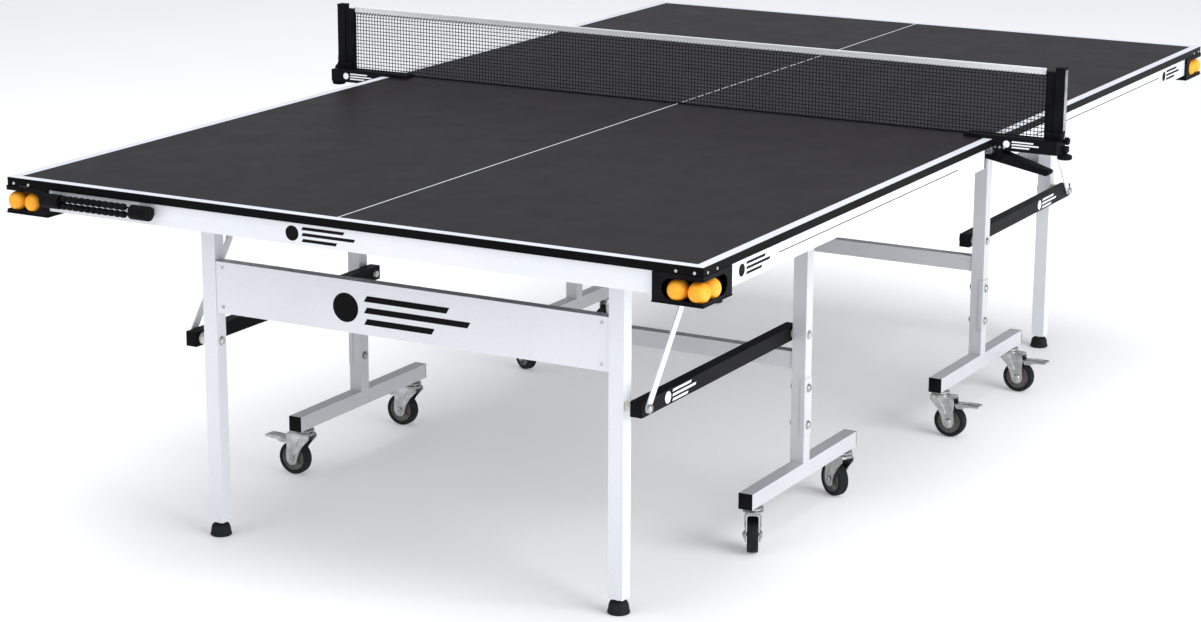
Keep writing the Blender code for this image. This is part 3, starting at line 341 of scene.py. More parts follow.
def add_sweep(bm, points, section, closed=False, matrix=None, up=Vector((0, 0, 1))):
    """Carries a closed (side, up) section along points, with capped ends."""
    part = bmesh.new()
    rings = []
    count = len(points)
    for k, point in enumerate(points):
        before = points[(k - 1) % count] if closed or k else point
        after = points[(k + 1) % count] if closed or k < count - 1 else point
        along = (Vector(after) - Vector(before)).normalized()
        side = along.cross(up).normalized()
        over = side.cross(along)
        scale = 1.0
        if (closed or 0 < k < count - 1):
            one = (Vector(point) - Vector(before)).normalized()
            scale = 1.0 / max(0.4, abs(along.dot(one)))
        rings.append([part.verts.new(Vector(point) + side * s * scale + over * h)
                      for s, h in section])
    pairs = list(zip(rings, rings[1:])) + ([(rings[-1], rings[0])] if closed else [])
    size = len(section)
    for first, second in pairs:
        for k in range(size):
            part.faces.new((first[k], first[(k + 1) % size], second[(k + 1) % size], second[k]))
    if not closed:
        part.faces.new(rings[0][::-1])
        part.faces.new(rings[-1])
    merge(bm, part, matrix)


def circle(radius, steps=10):
    return [(radius * math.cos(math.tau * k / steps), radius * math.sin(math.tau * k / steps))
            for k in range(steps)]


def mm(*points):
    """Points given in millimetres."""
    return [tuple(value * MM for value in point) for point in points]


def centred(span, middle=0.0):
    """Limits of a length that lies evenly about its middle."""
    return middle - span / 2, middle + span / 2


def turn_to(axis):
    """Rotation that takes +Z to the given direction."""
    return Vector(axis).to_track_quat("Z", "Y").to_matrix().to_4x4()


def at(x, y, z, axis=(0, 0, 1)):
    return Matrix.Translation((x, y, z)) @ turn_to(axis)


def spin(angle, axis="Z"):
    return Matrix.Rotation(angle, 4, axis)


def joint_place(name):
    return Vector(next(j for j in frame["joints"] if j["name"] == name)["pos_m"])


def size(node):
    """A node's lowest and highest corner, middle and span."""
    low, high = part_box(node)
    return low, high, (low + high) / 2, high - low


# ---------------------------------------------------------------- CAD nodes kept
def round_edges(obj, width, segments=2, angle=40.0):
    """Rolled and moulded edges, as modifiers on a CAD node."""
    bevel = obj.modifiers.new("rounded", "BEVEL")
    bevel.width = width
    bevel.segments = segments
    bevel.limit_method = "ANGLE"
    bevel.angle_limit = math.radians(angle)
    bevel.use_clamp_overlap = True
    bevel.miter_outer = "MITER_ARC"
    normals = obj.modifiers.new("normals", "WEIGHTED_NORMAL")
    normals.keep_sharp = False
    normals.weight = 90


def dress_nodes():
    kinds = {"panel": ("top", 0.3), "apron_frame": ("white", 0.7), "leg_frame": ("white", 0.7),
             "trolley_frame": ("grey", 0.7), "trolley_foot": ("grey", 0.7),
             "side_bar": ("black", 0.7), "stay_lower": ("white", 0.5), "stay_upper": ("grey", 0.5),
             "ball_holder": ("plastic", 0.8), "net_bracket": ("plastic", 1.2),
             "scorer_rack": ("plastic", 0.4)}
    for name, obj in frame["nodes"].items():
        for kind, (finish, width) in kinds.items():
            if kind in name:
                for slot in obj.material_slots:
                    slot.material = FINISH[finish]
                round_edges(obj, width * MM)


# ---------------------------------------------------------------- tabletop
def panel_paint():
    low, high, _, _ = size("near_panel")
    top = high.z
    z = (top - 0.1 * MM, top + PAINT)
    bm = bmesh.new()
    add_block(bm, (low.x, low.x + LINE_WIDTH), (low.y, high.y), z, 0.04 * MM, 1)
    for side in (-1, 1):
        add_block(bm, (low.x + LINE_WIDTH, high.x),
                  (side * (high.y - LINE_WIDTH), side * high.y), z, 0.04 * MM, 1)
    add_block(bm, (low.x + LINE_WIDTH, high.x), (-CENTRE_LINE / 2, CENTRE_LINE / 2), z,
              0.04 * MM, 1)
    halves("white_lines", to_mesh(bm), "line", "top")


def edge_band():
    """Black strip round the outer edges, with rounded corners and a slight crown."""
    low, high, _, _ = size("near_panel")
    out = 0.45 * MM
    corner = 2.6 * MM
    x0, y1 = low.x - out, high.y + out
    points = [Vector((high.x, -y1, 0))]
    for sign in (-1, 1):
        for step in range(6):
            angle = math.pi / 2 * (step if sign < 0 else 5 - step) / 5
            points.append(Vector((x0 + corner * (1 - math.sin(angle)),
                                  sign * (y1 - corner * (1 - math.cos(angle))), 0)))
    points.append(Vector((high.x, y1, 0)))
    bottom, top = low.z + 0.2 * MM, high.z - 0.1 * MM
    thick = 0.5 * MM
    section = [(-thick, bottom), (thick * 0.4, bottom), (thick, bottom + 1.2 * MM),
               (thick * 1.15, (bottom + top) / 2), (thick, top - 1.2 * MM), (thick * 0.4, top),
               (-thick, top)]
    bm = bmesh.new()
    add_sweep(bm, points, section)
    halves("edge_band", to_mesh(bm), "band", "top", smooth=50)


def screw_head(bm, matrix, radius=3.2 * MM, height=1.3 * MM):
    """A small pan head with a cross recess."""
    add_lathe(bm, [(0, -0.4 * MM), (radius, -0.4 * MM), (radius, 0.2 * height),
                   (radius * 0.86, 0.75 * height), (radius * 0.5, height),
                   (radius * 0.42, height), (radius * 0.30, 0.45 * height),
                   (0, 0.4 * height)], 16, matrix)


def band_screws():
    low, high, _, _ = size("near_panel")
    bm = bmesh.new()
    z = low.z + 5 * MM
    for side in (-1, 1):
        for back in (16 * MM, 52 * MM):
            screw_head(bm, at(low.x - 0.7 * MM, side * (high.y - back), z, (-1, 0, 0)))
            screw_head(bm, at(low.x + back, side * (high.y + 0.7 * MM), z, (0, side, 0)))
    halves("band_screws", to_mesh(bm), "zinc", "top")


def ball():
    """A ball shell with the fine raised seam where its two cups are joined."""
    radius = BALL_RADIUS
    steps = 28
    profile = []
    for k in range(steps + 1):
        angle = math.pi * k / steps - math.pi / 2
        seam = 0.07 * MM * math.exp(-((angle / 0.03) ** 2))
        profile.append(((radius + seam) * math.cos(angle), radius * math.sin(angle)))
    profile[0] = (0, -radius)
    profile[-1] = (0, radius)
    bm = bmesh.new()
    add_lathe(bm, profile, 40)
    return to_mesh(bm)


def spare_balls():
    mesh = ball()
    wall = 2.5 * MM
    reach = wall + 13.8 * MM
    pitch = 2 * BALL_RADIUS + 0.4 * MM
    for side_name, side in SIDES:
        low, high, _, _ = size(f"near_ball_holder_{side_name}")
        corner_y = high.y if side > 0 else -low.y  # its distance from the table's long axis
        z = low.z + wall + BALL_RADIUS + 0.2 * MM
        spots = ((low.x + reach, corner_y - reach), (low.x + reach, corner_y - reach - pitch),
                 (low.x + reach + pitch, corner_y - reach))
        for number, (x, y) in enumerate(spots, 1):
            tilt = spin(0.7 * number, "X") @ spin(0.9 * number + side, "Y")
            halves(f"spare_ball_{side_name}_{number}", mesh, "ball", "top",
                   Matrix.Translation((x, side * y, z)) @ tilt, smooth=60)


def holder_rims():
    """Moulded bead round each holder's foot and ribs up its hidden sides."""
    bm = bmesh.new()
    for side_name, side in SIDES:
        low, high, _, span = size(f"near_ball_holder_{side_name}")
        z = low.z + 1.6 * MM
        x0, x1 = low.x - 0.2 * MM, high.x
        ring = [(x0, low.y, z), (x0, high.y, z), (x1, high.y, z), (x1, low.y, z)]
        add_sweep(bm, ring, circle(1.2 * MM, 8), closed=True)
        inner = low.y if side > 0 else high.y
        for k in range(3):
            x = low.x + span.x * (0.3 + 0.25 * k)
            add_block(bm, centred(2 * MM, x), (inner - side * 2 * MM, inner + side * 0.5 * MM),
                      (low.z + 4 * MM, high.z - 2 * MM), 0.4 * MM)
    halves("holder_rims", to_mesh(bm), "plastic", "top")


# ---------------------------------------------------------------- marks
def add_mark(bm, width, matrix):
    """Generic graphic: a filled ball with three speed dashes. Lies in local XY."""
    lift = 0.15 * MM
    radius = 0.088 * width
    add_lathe(bm, [(0, -lift), (radius, -lift), (radius, lift * 0.6), (radius * 0.97, lift),
                   (0, lift)], 28, matrix @ Matrix.Translation((-width / 2 + radius, 0, 0)))
    dash = 0.036 * width
    for row, length in ((1, 0.56), (0, 0.70), (-1, 0.46)):
        x0 = -width / 2 + 2.45 * radius
        y = row * 1.9 * dash
        x1 = x0 + length * width
        slant = dash * 0.6
        outline = [(x0, y - dash / 2), (x1, y - dash / 2),
                   (x1 + slant, y + dash / 2), (x0 + slant, y + dash / 2)]
        add_plate(bm, outline, -lift, lift, 0.0, matrix)


def facing(x, y, z, right, up=(0, 0, 1)):
    """Places local XY on a face, with +X to the viewer's right and +Y up."""
    right, up = Vector(right), Vector(up)
    out = right.cross(up)
    turn = Matrix((right, up, out)).transposed().to_4x4()
    return Matrix.Translation((x, y, z)) @ turn


def marks():
    apron_low = size("near_apron_frame")[0]
    face_z = size("near_panel")[0].z - RAIL_MIDDLE
    holder_end = size("near_ball_holder_right")[1].x
    lift = 0.1 * MM
    bm = bmesh.new()
    add_mark(bm, 0.165, facing(apron_low.x - lift, 0.024, face_z, (0, -1, 0)))
    centre = holder_end + 0.105
    for side in (-1, 1):
        y = side * SIDE_RAIL_FACE
        add_mark(bm, 0.135, facing(centre, y + side * lift, face_z, (-side, 0, 0)))
        # Pinstripe along the side rail's face, just above its middle.
        x0, x1 = centre + 0.095, -0.215
        add_block(bm, (x0, x1), (y - side * 0.1 * MM, y + side * 0.2 * MM),
                  (face_z + 0.6 * MM, face_z + 2.6 * MM))
    halves("apron_marks", to_mesh(bm), "mark_dark", "top", smooth=0)

    bm = bmesh.new()
    add_mark(bm, 0.335, facing(END_PANEL_FACE - lift, 0.0, 0.5225, (0, -1, 0)))
    halves("end_panel_mark", to_mesh(bm), "mark_dark", "legs", smooth=0)

    bm = bmesh.new()
    centre = size("near_side_bar_left")[0].x + 0.157
    for side in (-1, 1):
        y = side * BAR_FACE
        add_mark(bm, 0.135, facing(centre, y + side * lift, BAR_HEIGHT, (-side, 0, 0)))
    halves("side_bar_marks", to_mesh(bm), "mark_light", "side_bars", smooth=0)

    bm = bmesh.new()
    for side_name, side in SIDES:
        low = size(f"net_bracket_{side_name}")[0]
        middle = side * 0.829
        add_mark(bm, 0.085, facing(low.x - lift, middle, 0.7525, (0, -1, 0)))
        add_mark(bm, 0.070, facing(0.010 + lift, middle, 0.7475, (0, 1, 0)))
    link_piece("bracket_marks", to_mesh(bm), "mark_light", "near_top", smooth=0)


# ---------------------------------------------------------------- fasteners
def bolt_head(bm, matrix, radius=8.0 * MM, height=5.2 * MM):
    """A washer and a domed head with a round socket."""
    add_lathe(bm, [(0, -0.3 * MM), (radius * 1.22, -0.3 * MM), (radius * 1.22, 0.7 * MM),
                   (radius * 1.12, 1.1 * MM), (radius, 1.1 * MM), (radius, height * 0.42),
                   (radius * 0.88, height * 0.74), (radius * 0.62, height * 0.94),
                   (radius * 0.44, height)], 24, matrix)
    part = bmesh.new()
    rim, mouth, floor = ([part.verts.new((x, y, z)) for x, y in circle(share * radius, 24)]
                         for share, z in ((0.44, height), (0.36, height), (0.36, height * 0.45)))
    for k in range(24):
        after = (k + 1) % 24
        part.faces.new((rim[k], rim[after], mouth[after], mouth[k]))
        part.faces.new((mouth[k], mouth[after], floor[after], floor[k]))
    part.faces.new(floor)
    merge(bm, part, matrix)


def hex_nut(bm, matrix, radius=8.2 * MM, height=5.4 * MM, bore=4.0 * MM):
    """A chamfered hexagon with a bolt end standing a little proud."""
    add_plate(bm, circle(radius, 6), -0.2 * MM, height, 0.8 * MM, matrix)
    add_lathe(bm, [(0, 0), (bore, 0), (bore, height + 1.4 * MM), (bore * 0.8, height + 2.0 * MM),
                   (0, height + 2.0 * MM)], 16, matrix)
    add_lathe(bm, [(0, -0.3 * MM), (radius * 1.15, -0.3 * MM), (radius * 1.15, 0.7 * MM),
                   (0, 0.7 * MM)], 24, matrix)


def trolley_fasteners():
    x = size("near_trolley_foot_right")[2].x
    bm = bmesh.new()
    for side in (-1, 1):
        for z in SPLICE_BOLTS:
            bolt_head(bm, at(x, side * (POST_OUTSIDE + SPLICE_SHEET), z, (0, side, 0)),
                      height=5.0 * MM)
            hex_nut(bm, at(x, side * (POST_INSIDE - 0.2 * MM), z, (0, -side, 0)))
        bolt_head(bm, at(x, side * POST_OUTSIDE, BAR_HEIGHT, (0, side, 0)))
    halves("trolley_bolts", to_mesh(bm), "zinc", "trolley")


def splice_plates():
    """U-shaped sheet round the outer face of each upright, over the splice."""
    half = 15 * MM
    thick = SPLICE_SHEET
    wrap = 9 * MM
    corner = 1.2 * MM
    play = 0.05 * MM
    x = size("near_trolley_foot_right")[2].x
    bm = bmesh.new()
    for side in (-1, 1):
        out = side * (POST_OUTSIDE + thick)
        face = side * (POST_OUTSIDE + play)
        back = side * (POST_OUTSIDE - wrap)
        outline = [(x + along, across) for along, across in (
            (-half - thick, back), (-half - thick, out - side * corner),
            (-half - thick + corner, out), (half + thick - corner, out),
            (half + thick, out - side * corner), (half + thick, back),
            (half + play, back), (half + play, face),
            (-half - play, face), (-half - play, back))]
        add_plate(bm, outline if side < 0 else outline[::-1], 0.199, 0.321, 0.3 * MM)
    halves("splice_plates", to_mesh(bm), "grey", "trolley")


def plug(bm, width, height, depth, matrix):
    """Plastic tube plug: a rounded cap with a skirt. Its face looks along local +Z."""
    cap = wall = 2.2 * MM
    for wide, tall, z, bevel, segments in (
            (width / 2, height / 2, (0, cap), 1.0, 3),
            (width / 2 - wall, height / 2 - wall, (-depth, 0.5 * MM), 0.4, 1),
            (width / 4, height / 4, (cap - 0.3 * MM, cap + 0.3 * MM), 0.25, 1)):
        add_block(bm, (-wide, wide), (-tall, tall), z, bevel * MM, segments, matrix)


def tube_plugs():
    bm = bmesh.new()
    for side_name, side in SIDES:
        low, high, _, _ = size(f"near_trolley_foot_{side_name}")
        for x, way in ((low.x, -1), (high.x, 1)):
            plug(bm, 30.6 * MM, 33.6 * MM, 12 * MM,
                 at(x, side * POST_MIDDLE, low.z + 16.5 * MM, (way, 0, 0)))
    halves("foot_rail_plugs", to_mesh(bm), "plastic", "trolley")
    bm = bmesh.new()
    for side_name, _ in SIDES:
        low, high, mid, _ = size(f"near_side_bar_{side_name}")
        for x, way in ((low.x, -1), (high.x, 1)):
            plug(bm, 25.4 * MM, 30.4 * MM, 7 * MM, at(x, mid.y, mid.z, (way, 0, 0)))
    halves("side_bar_plugs", to_mesh(bm), "plastic", "side_bars")


def spacers():
    """White nylon bushes beside the bars, and the bolts through the legs."""
    bar_face = size("near_side_bar_left")[1].y
    x = size("near_trolley_foot_right")[2].x
    bm = bmesh.new()
    for side in (-1, 1):
        add_lathe(bm, mm((8, 0.1), (11.6, 0.1), (12.2, 0.8), (12.2, 4.6), (11.6, 5.2), (8, 5.2)),
                  28, at(x, side * (bar_face + 0.1 * MM), BAR_HEIGHT, (0, side, 0)))
    halves("trolley_bushes", to_mesh(bm), "nylon", "trolley")
    bm = bmesh.new()
    for side in (-1, 1):
        add_lathe(bm, mm((8, 0.2), (11.8, 0.2), (12.4, 1.0), (12.4, 14.8), (11.8, 15.8),
                         (8, 15.8)),
                  28, at(LEG_X, side * LEG_OUTSIDE, BAR_HEIGHT, (0, side, 0)))
    halves("leg_bushes", to_mesh(bm), "nylon", "legs")
    bm = bmesh.new()
    for side in (-1, 1):
        bolt_head(bm, at(LEG_X, side * STAY_FACE, BAR_HEIGHT, (0, side, 0)), radius=7.8 * MM,
                  height=4.2 * MM)
        bolt_head(bm, at(LEG_X, side * LEG_INSIDE, BAR_HEIGHT, (0, -side, 0)))
        # Screws near both ends of the end panel, one above the other.
        for z in (0.566, 0.486):
            screw_head(bm, at(END_PANEL_FACE, side * 0.431, z, (-1, 0, 0)), 3.6 * MM, 1.6 * MM)
    halves("leg_bolts", to_mesh(bm), "zinc", "legs")


def stay_rivets():
    """A rivet head at the lower end of each upper link, and its stiffening rib."""
    base = Vector((LEG_X, 0, BAR_HEIGHT))
    head = Vector((-0.870, 0, 0.724))
    knee = base.lerp(head, 0.562)
    rib = [knee.lerp(head, t) for t in (0.12, 0.5, 0.88)]
    bm = bmesh.new()
    for side in (-1, 1):
        add_lathe(bm, mm((0, -0.2), (5.6, -0.2), (5.6, 0.4), (4.6, 1.8), (2.6, 2.6), (0, 2.9)),
                  20, at(knee.x, side * RIVET_SEAT, knee.z, (0, side, 0)))
        add_sweep(bm, [Vector((p.x, side * STAY_FACE, p.z)) for p in rib], circle(2.2 * MM, 10),
                  up=Vector((0, 1, 0)))
    halves("stay_rivets", to_mesh(bm), "zinc", "stays_upper")


# ---------------------------------------------------------------- end legs
def leveller_feet():
    """Rubber foot with a flared skirt, a lock nut and a threaded stem."""
    for side_name, _ in SIDES:
        body = f"leveller_{side_name}"
        _, high, mid, _ = size(f"near_{body}")
        place = Matrix.Translation((mid.x, mid.y, 0))
        bm = bmesh.new()
        add_lathe(bm, mm((0, 0), (20.5, 0), (21.8, 1.0), (22.0, 4.2), (21.2, 5.4), (20.8, 6.2),
                         (19.8, 14), (18.6, 19.5), (16.8, 22.6), (14, 24), (6, 24), (0, 23)), 36)
        halves(f"leveller_foot_{side_name}", to_mesh(bm), "rubber", body, place,
               stands_for=body)
        bm = bmesh.new()
        profile = [(0, 20 * MM)]
        z = 21 * MM
        while z < high.z - 1 * MM:
            profile += [(5.0 * MM, z), (4.35 * MM, z + 0.75 * MM)]
            z += 1.5 * MM
        profile.append((0, high.z))
        add_lathe(bm, profile, 18)
        add_plate(bm, circle(8.6 * MM, 6), 24.2 * MM, 29.2 * MM, 0.8 * MM)
        halves(f"leveller_stem_{side_name}", to_mesh(bm), "zinc", body, place)


# ---------------------------------------------------------------- casters
TRAIL = 26 * MM
WHEEL = 37 * MM


def wheel_turn(bm, side, inner, steps):
    """Turns a wheel's half profile, mirrored about its middle, round the Y axis."""
    profile = mm(*side)
    mirrored = profile[:-1] if side[-1][1] == 0 else profile
    profile += [(r, -h) for r, h in reversed(mirrored)]
    profile += mm(*inner) + [profile[0]]
    add_lathe(bm, profile, steps, spin(math.pi / 2, "X"))


def caster_tyre():
    side = [(26.2, 9.4), (27.2, 10.6), (30.5, 11.6), (33.6, 11.6), (35.4, 10.4), (36.5, 8.2),
            (36.9, 5.8), (36.9, 3.6), (36.3, 3.2), (36.3, 2.6), (36.95, 2.2), (37.0, 0)]
    bm = bmesh.new()
    wheel_turn(bm, side, [(25.4, -6), (25.4, 6)], 64)
    return to_mesh(bm)


def caster_hub():
    side = [(4.4, 11.4), (9.0, 11.4), (9.6, 10.8), (10.2, 7.6), (11.6, 6.8), (22.8, 6.4),
            (24.2, 7.2), (24.8, 10.0), (26.6, 10.0)]
    bm = bmesh.new()
    wheel_turn(bm, side, [], 48)
    for k in range(5):
        turn = spin(math.tau * k / 5, "Y")
        for way in (-1, 1):
            add_block(bm, (9.8 * MM, 24.8 * MM), (way * 6.0 * MM, way * 9.2 * MM),
                      centred(2.6 * MM), 0.4 * MM, 1, turn)
    return to_mesh(bm)


def caster_fork():
    """Pressed fork, ball race and kingpin; the swivel axis is the Z axis."""
    bm = bmesh.new()
    crown = 89.7 * MM
    inside = 13.5 * MM
    plate = 2.5 * MM
    outline = [(-17, 95.0), (-20.5, 91), (-19.5, 85), (-11, 77), (-1, 67), (7, 54), (10.8, 44),
               (11.6, 36), (14.8, 27.6), (20, 23.4), (26, 22.2), (32, 23.4), (37.2, 27.6),
               (40.4, 36), (39.6, 48), (38.4, 62), (39.4, 80), (38.4, 88), (34.5, 93.4),
               (30, 95.4)]
    outside = inside + plate
    for way in (-1, 1):
        low, high = sorted((way * inside, way * outside))
        add_plate(bm, mm(*outline), low, high, 0.6 * MM, UPRIGHT)
        rib = mm((4, 84), (13, 70), (19, 56))
        add_sweep(bm, [Vector((x, way * outside, z)) for x, z in rib], circle(1.6 * MM, 8),
                  up=Vector((0, 1, 0)))
    add_block(bm, (-19.5 * MM, 38.5 * MM), (-outside, outside),
              (crown + 2.0 * MM, crown + 5.8 * MM), 1.6 * MM, 3)
    add_lathe(bm, mm((0, 93.5), (19.4, 93.5), (21.2, 95.2), (21.4, 97.4), (19.6, 98.8),
                     (17.2, 99.2), (17.2, 100.0), (19.4, 100.4), (21.0, 101.8), (21.0, 104.0),
                     (19.0, 105.6), (13, 106.0), (12.4, 107.6), (0, 107.6)), 40)
    add_lathe(bm, mm((0, -0.2), (8.0, -0.2), (8.0, 1.8), (6.2, 3.4), (0, 3.9)), 24,
              at(TRAIL, -outside, WHEEL, (0, -1, 0)))
    hex_nut(bm, at(TRAIL, outside, WHEEL, (0, 1, 0)), 7.4 * MM, 3.4 * MM, 3.2 * MM)
    add_lathe(bm, mm((0, -14), (3.9, -14), (3.9, 14), (0, 14)), 16,
              at(TRAIL, 0, WHEEL, (0, 1, 0)))
    return to_mesh(bm)


def caster_pedal():
    """Pressed brake tread with side cheeks and grip ribs; it tips about its inner end."""
    bm = bmesh.new()
    path = mm((40.2, 79.4), (58, 80.2), (66, 81.4), (90, 81.6), (97, 80.4))
    half, thick = 12.6 * MM, 1.1 * MM
    section = [(-half, -thick), (half, -thick), (half, thick * 0.4), (half - 1.2 * MM, thick),
               (-half + 1.2 * MM, thick), (-half, thick * 0.4)]
    add_sweep(bm, [(x, 0, z) for x, z in path], section)
    cheek = mm((41.2, 80.4), (42, 73), (45, 70.0), (59, 70.6), (67, 75.6), (96, 77.2),
               (98.2, 79.4), (97, 81.6), (90, 82.4), (66, 82.2), (58, 81.2))
    for way in (-1, 1):
        low, high = sorted((way * 12.2 * MM, way * 13.5 * MM))
        add_plate(bm, cheek, low, high, 0.35 * MM, UPRIGHT)
    for k in range(4):
        x = 69 + 6 * k
        add_sweep(bm, mm((x, -10, 82.3), (x, 10, 82.3)), circle(0.9 * MM, 8))
    add_lathe(bm, mm((0, -12.4), (2.2, -12.4), (2.2, 12.4), (0, 12.4)), 14,
              at(41.4 * MM, 0, 78.4 * MM, (0, 1, 0)))
    return to_mesh(bm)


def casters():
    tyre, hub, fork, pedal = caster_tyre(), caster_hub(), caster_fork(), caster_pedal()
    for name in sorted(frame["nodes"]):
        if "_caster_fork_" not in name:
            continue
        half, tail = name.split("_caster_fork_")
        wheel_name = f"{half}_caster_wheel_{tail}"
        pedal_name = f"{half}_caster_pedal_{tail}"
        pivot = joint_place(f"{half}_caster_swivel_{tail}")
        pivot.z = 0
        wheel_mid = size(wheel_name)[2]
        angle = math.atan2(wheel_mid.y - pivot.y, wheel_mid.x - pivot.x)
        place = Matrix.Translation(pivot) @ spin(angle)
        axle = Matrix.Translation(wheel_mid) @ spin(angle)
        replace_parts(link_piece(f"{half}_fork_{tail}", fork, "zinc", name, place), name)
        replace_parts(link_piece(f"{half}_tyre_{tail}", tyre, "rubber", wheel_name, axle),
                    wheel_name)
        link_piece(f"{half}_hub_{tail}", hub, "hub", wheel_name, axle)
        if pedal_name in frame["nodes"]:
            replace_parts(link_piece(f"{half}_pedal_{tail}", pedal, "zinc", pedal_name, place),
                        pedal_name)


# ---------------------------------------------------------------- net
def net_cloth():
    """Knotted mesh of crossing threads, with a tape above and a cord below."""
    low, high, _, _ = size("net")
    reach = high.y
    pitch = 8 * MM
    columns = round(2 * reach / pitch)
    step = 2 * reach / columns
    bottom = low.z + 0.8 * MM
    tape_height = 14 * MM
    top = high.z - 1.5 * MM
    rows = int((top - bottom) / pitch)
    section = circle(0.9 * MM, 6)
    apart = 0.25 * MM
    bm = bmesh.new()
    for k in range(columns + 1):
        y = -reach + k * step
        add_sweep(bm, [(apart, y, bottom), (apart, y, top)], section, up=Vector((1, 0, 0)))
    for k in range(rows + 1):
        z = bottom + k * pitch
        add_sweep(bm, [(-apart, -reach, z), (-apart, reach, z)], section)
    # Knots: small eight-faced beads at each crossing.
    knot = 1.7 * MM
    corners = [Vector(c) * knot for c in ((1, 0, 0), (-1, 0, 0), (0, 1, 0), (0, -1, 0),
                                           (0, 0, 1), (0, 0, -1))]
    faces = ((0, 2, 4), (2, 1, 4), (1, 3, 4), (3, 0, 4),
             (2, 0, 5), (1, 2, 5), (3, 1, 5), (0, 3, 5))
    for k in range(1, columns):
        for row in range(1, rows + 1):
            place = Vector((0, -reach + k * step, bottom + row * pitch))
            if place.z > top - tape_height * 0.7:
                continue
            verts = [bm.verts.new(place + c) for c in corners]
            for face in faces:
                bm.faces.new([verts[i] for i in face])
    cloth = link_piece("net_cloth", to_mesh(bm), "thread", "near_top", smooth=60)
    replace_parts(cloth, "net")

    def sag(y):
        return 0.9 * MM * (1 - (y / reach) ** 2)

    # Tape: folded over the head cord, with its lower edges standing slightly apart.
    bm = bmesh.new()
    z1 = high.z + 0.4 * MM
    z0 = z1 - tape_height
    half = 1.5 * MM
    outline = [(-half * 0.9, z0), (-half * 1.05, z0 + 4 * MM), (-half, z1 - 5 * MM),
               (-half * 1.45, z1 - 2.6 * MM), (-half * 1.1, z1 - 0.7 * MM), (0, z1),
               (half * 1.1, z1 - 0.7 * MM), (half * 1.45, z1 - 2.6 * MM), (half, z1 - 5 * MM),
               (half * 1.05, z0 + 4 * MM), (half * 0.9, z0)]
    stations = 120
    points = []
    for k in range(stations + 1):
        y = -reach + 2 * reach * k / stations
        ripple = 0.25 * MM * math.sin(31.0 * y) * math.sin(7.3 * y + 1.0)
        points.append((ripple, y, -sag(y)))
    add_sweep(bm, points, outline)
    tape = link_piece("net_tape", to_mesh(bm), "tape", "near_top", smooth=40)

    # Two rows of stitches through the tape, and the lacing that ties it to the mesh.
    bm = bmesh.new()
    stitch_pitch = 5 * MM
    count = int(2 * reach / stitch_pitch)
    for k in range(count):
        y = -reach + (k + 0.5) * stitch_pitch
        z = z0 - sag(y)
        for way in (-1, 1):
            add_block(bm, (way * half, way * (half + 0.35 * MM)), centred(3.2 * MM, y),
                      (z + 2.2 * MM, z + 2.8 * MM))
    stitches = link_piece("tape_stitches", to_mesh(bm), "tape", "near_top", smooth=0)

    bm = bmesh.new()
    for k in range(columns):
        y = -reach + (k + 0.25) * step
        for way in (-1, 1):
            start = Vector((way * 1.9 * MM, y, z0 + 1.6 * MM))
            end = Vector((way * 0.5 * MM, y + step * 0.5, z0 - 4.6 * MM))
            add_sweep(bm, [start, (start + end) / 2 + Vector((way * 0.3 * MM, 0, 0)), end],
                      circle(0.55 * MM, 5), up=Vector((1, 0, 0)))
    lacing = link_piece("tape_lacing", to_mesh(bm), "thread", "near_top", smooth=60)

    bm = bmesh.new()
    add_sweep(bm, [(0, y, bottom) for y in (-reach, 0, reach)], circle(1.5 * MM))
    hem = link_piece("net_hem", to_mesh(bm), "thread", "near_top", smooth=60)


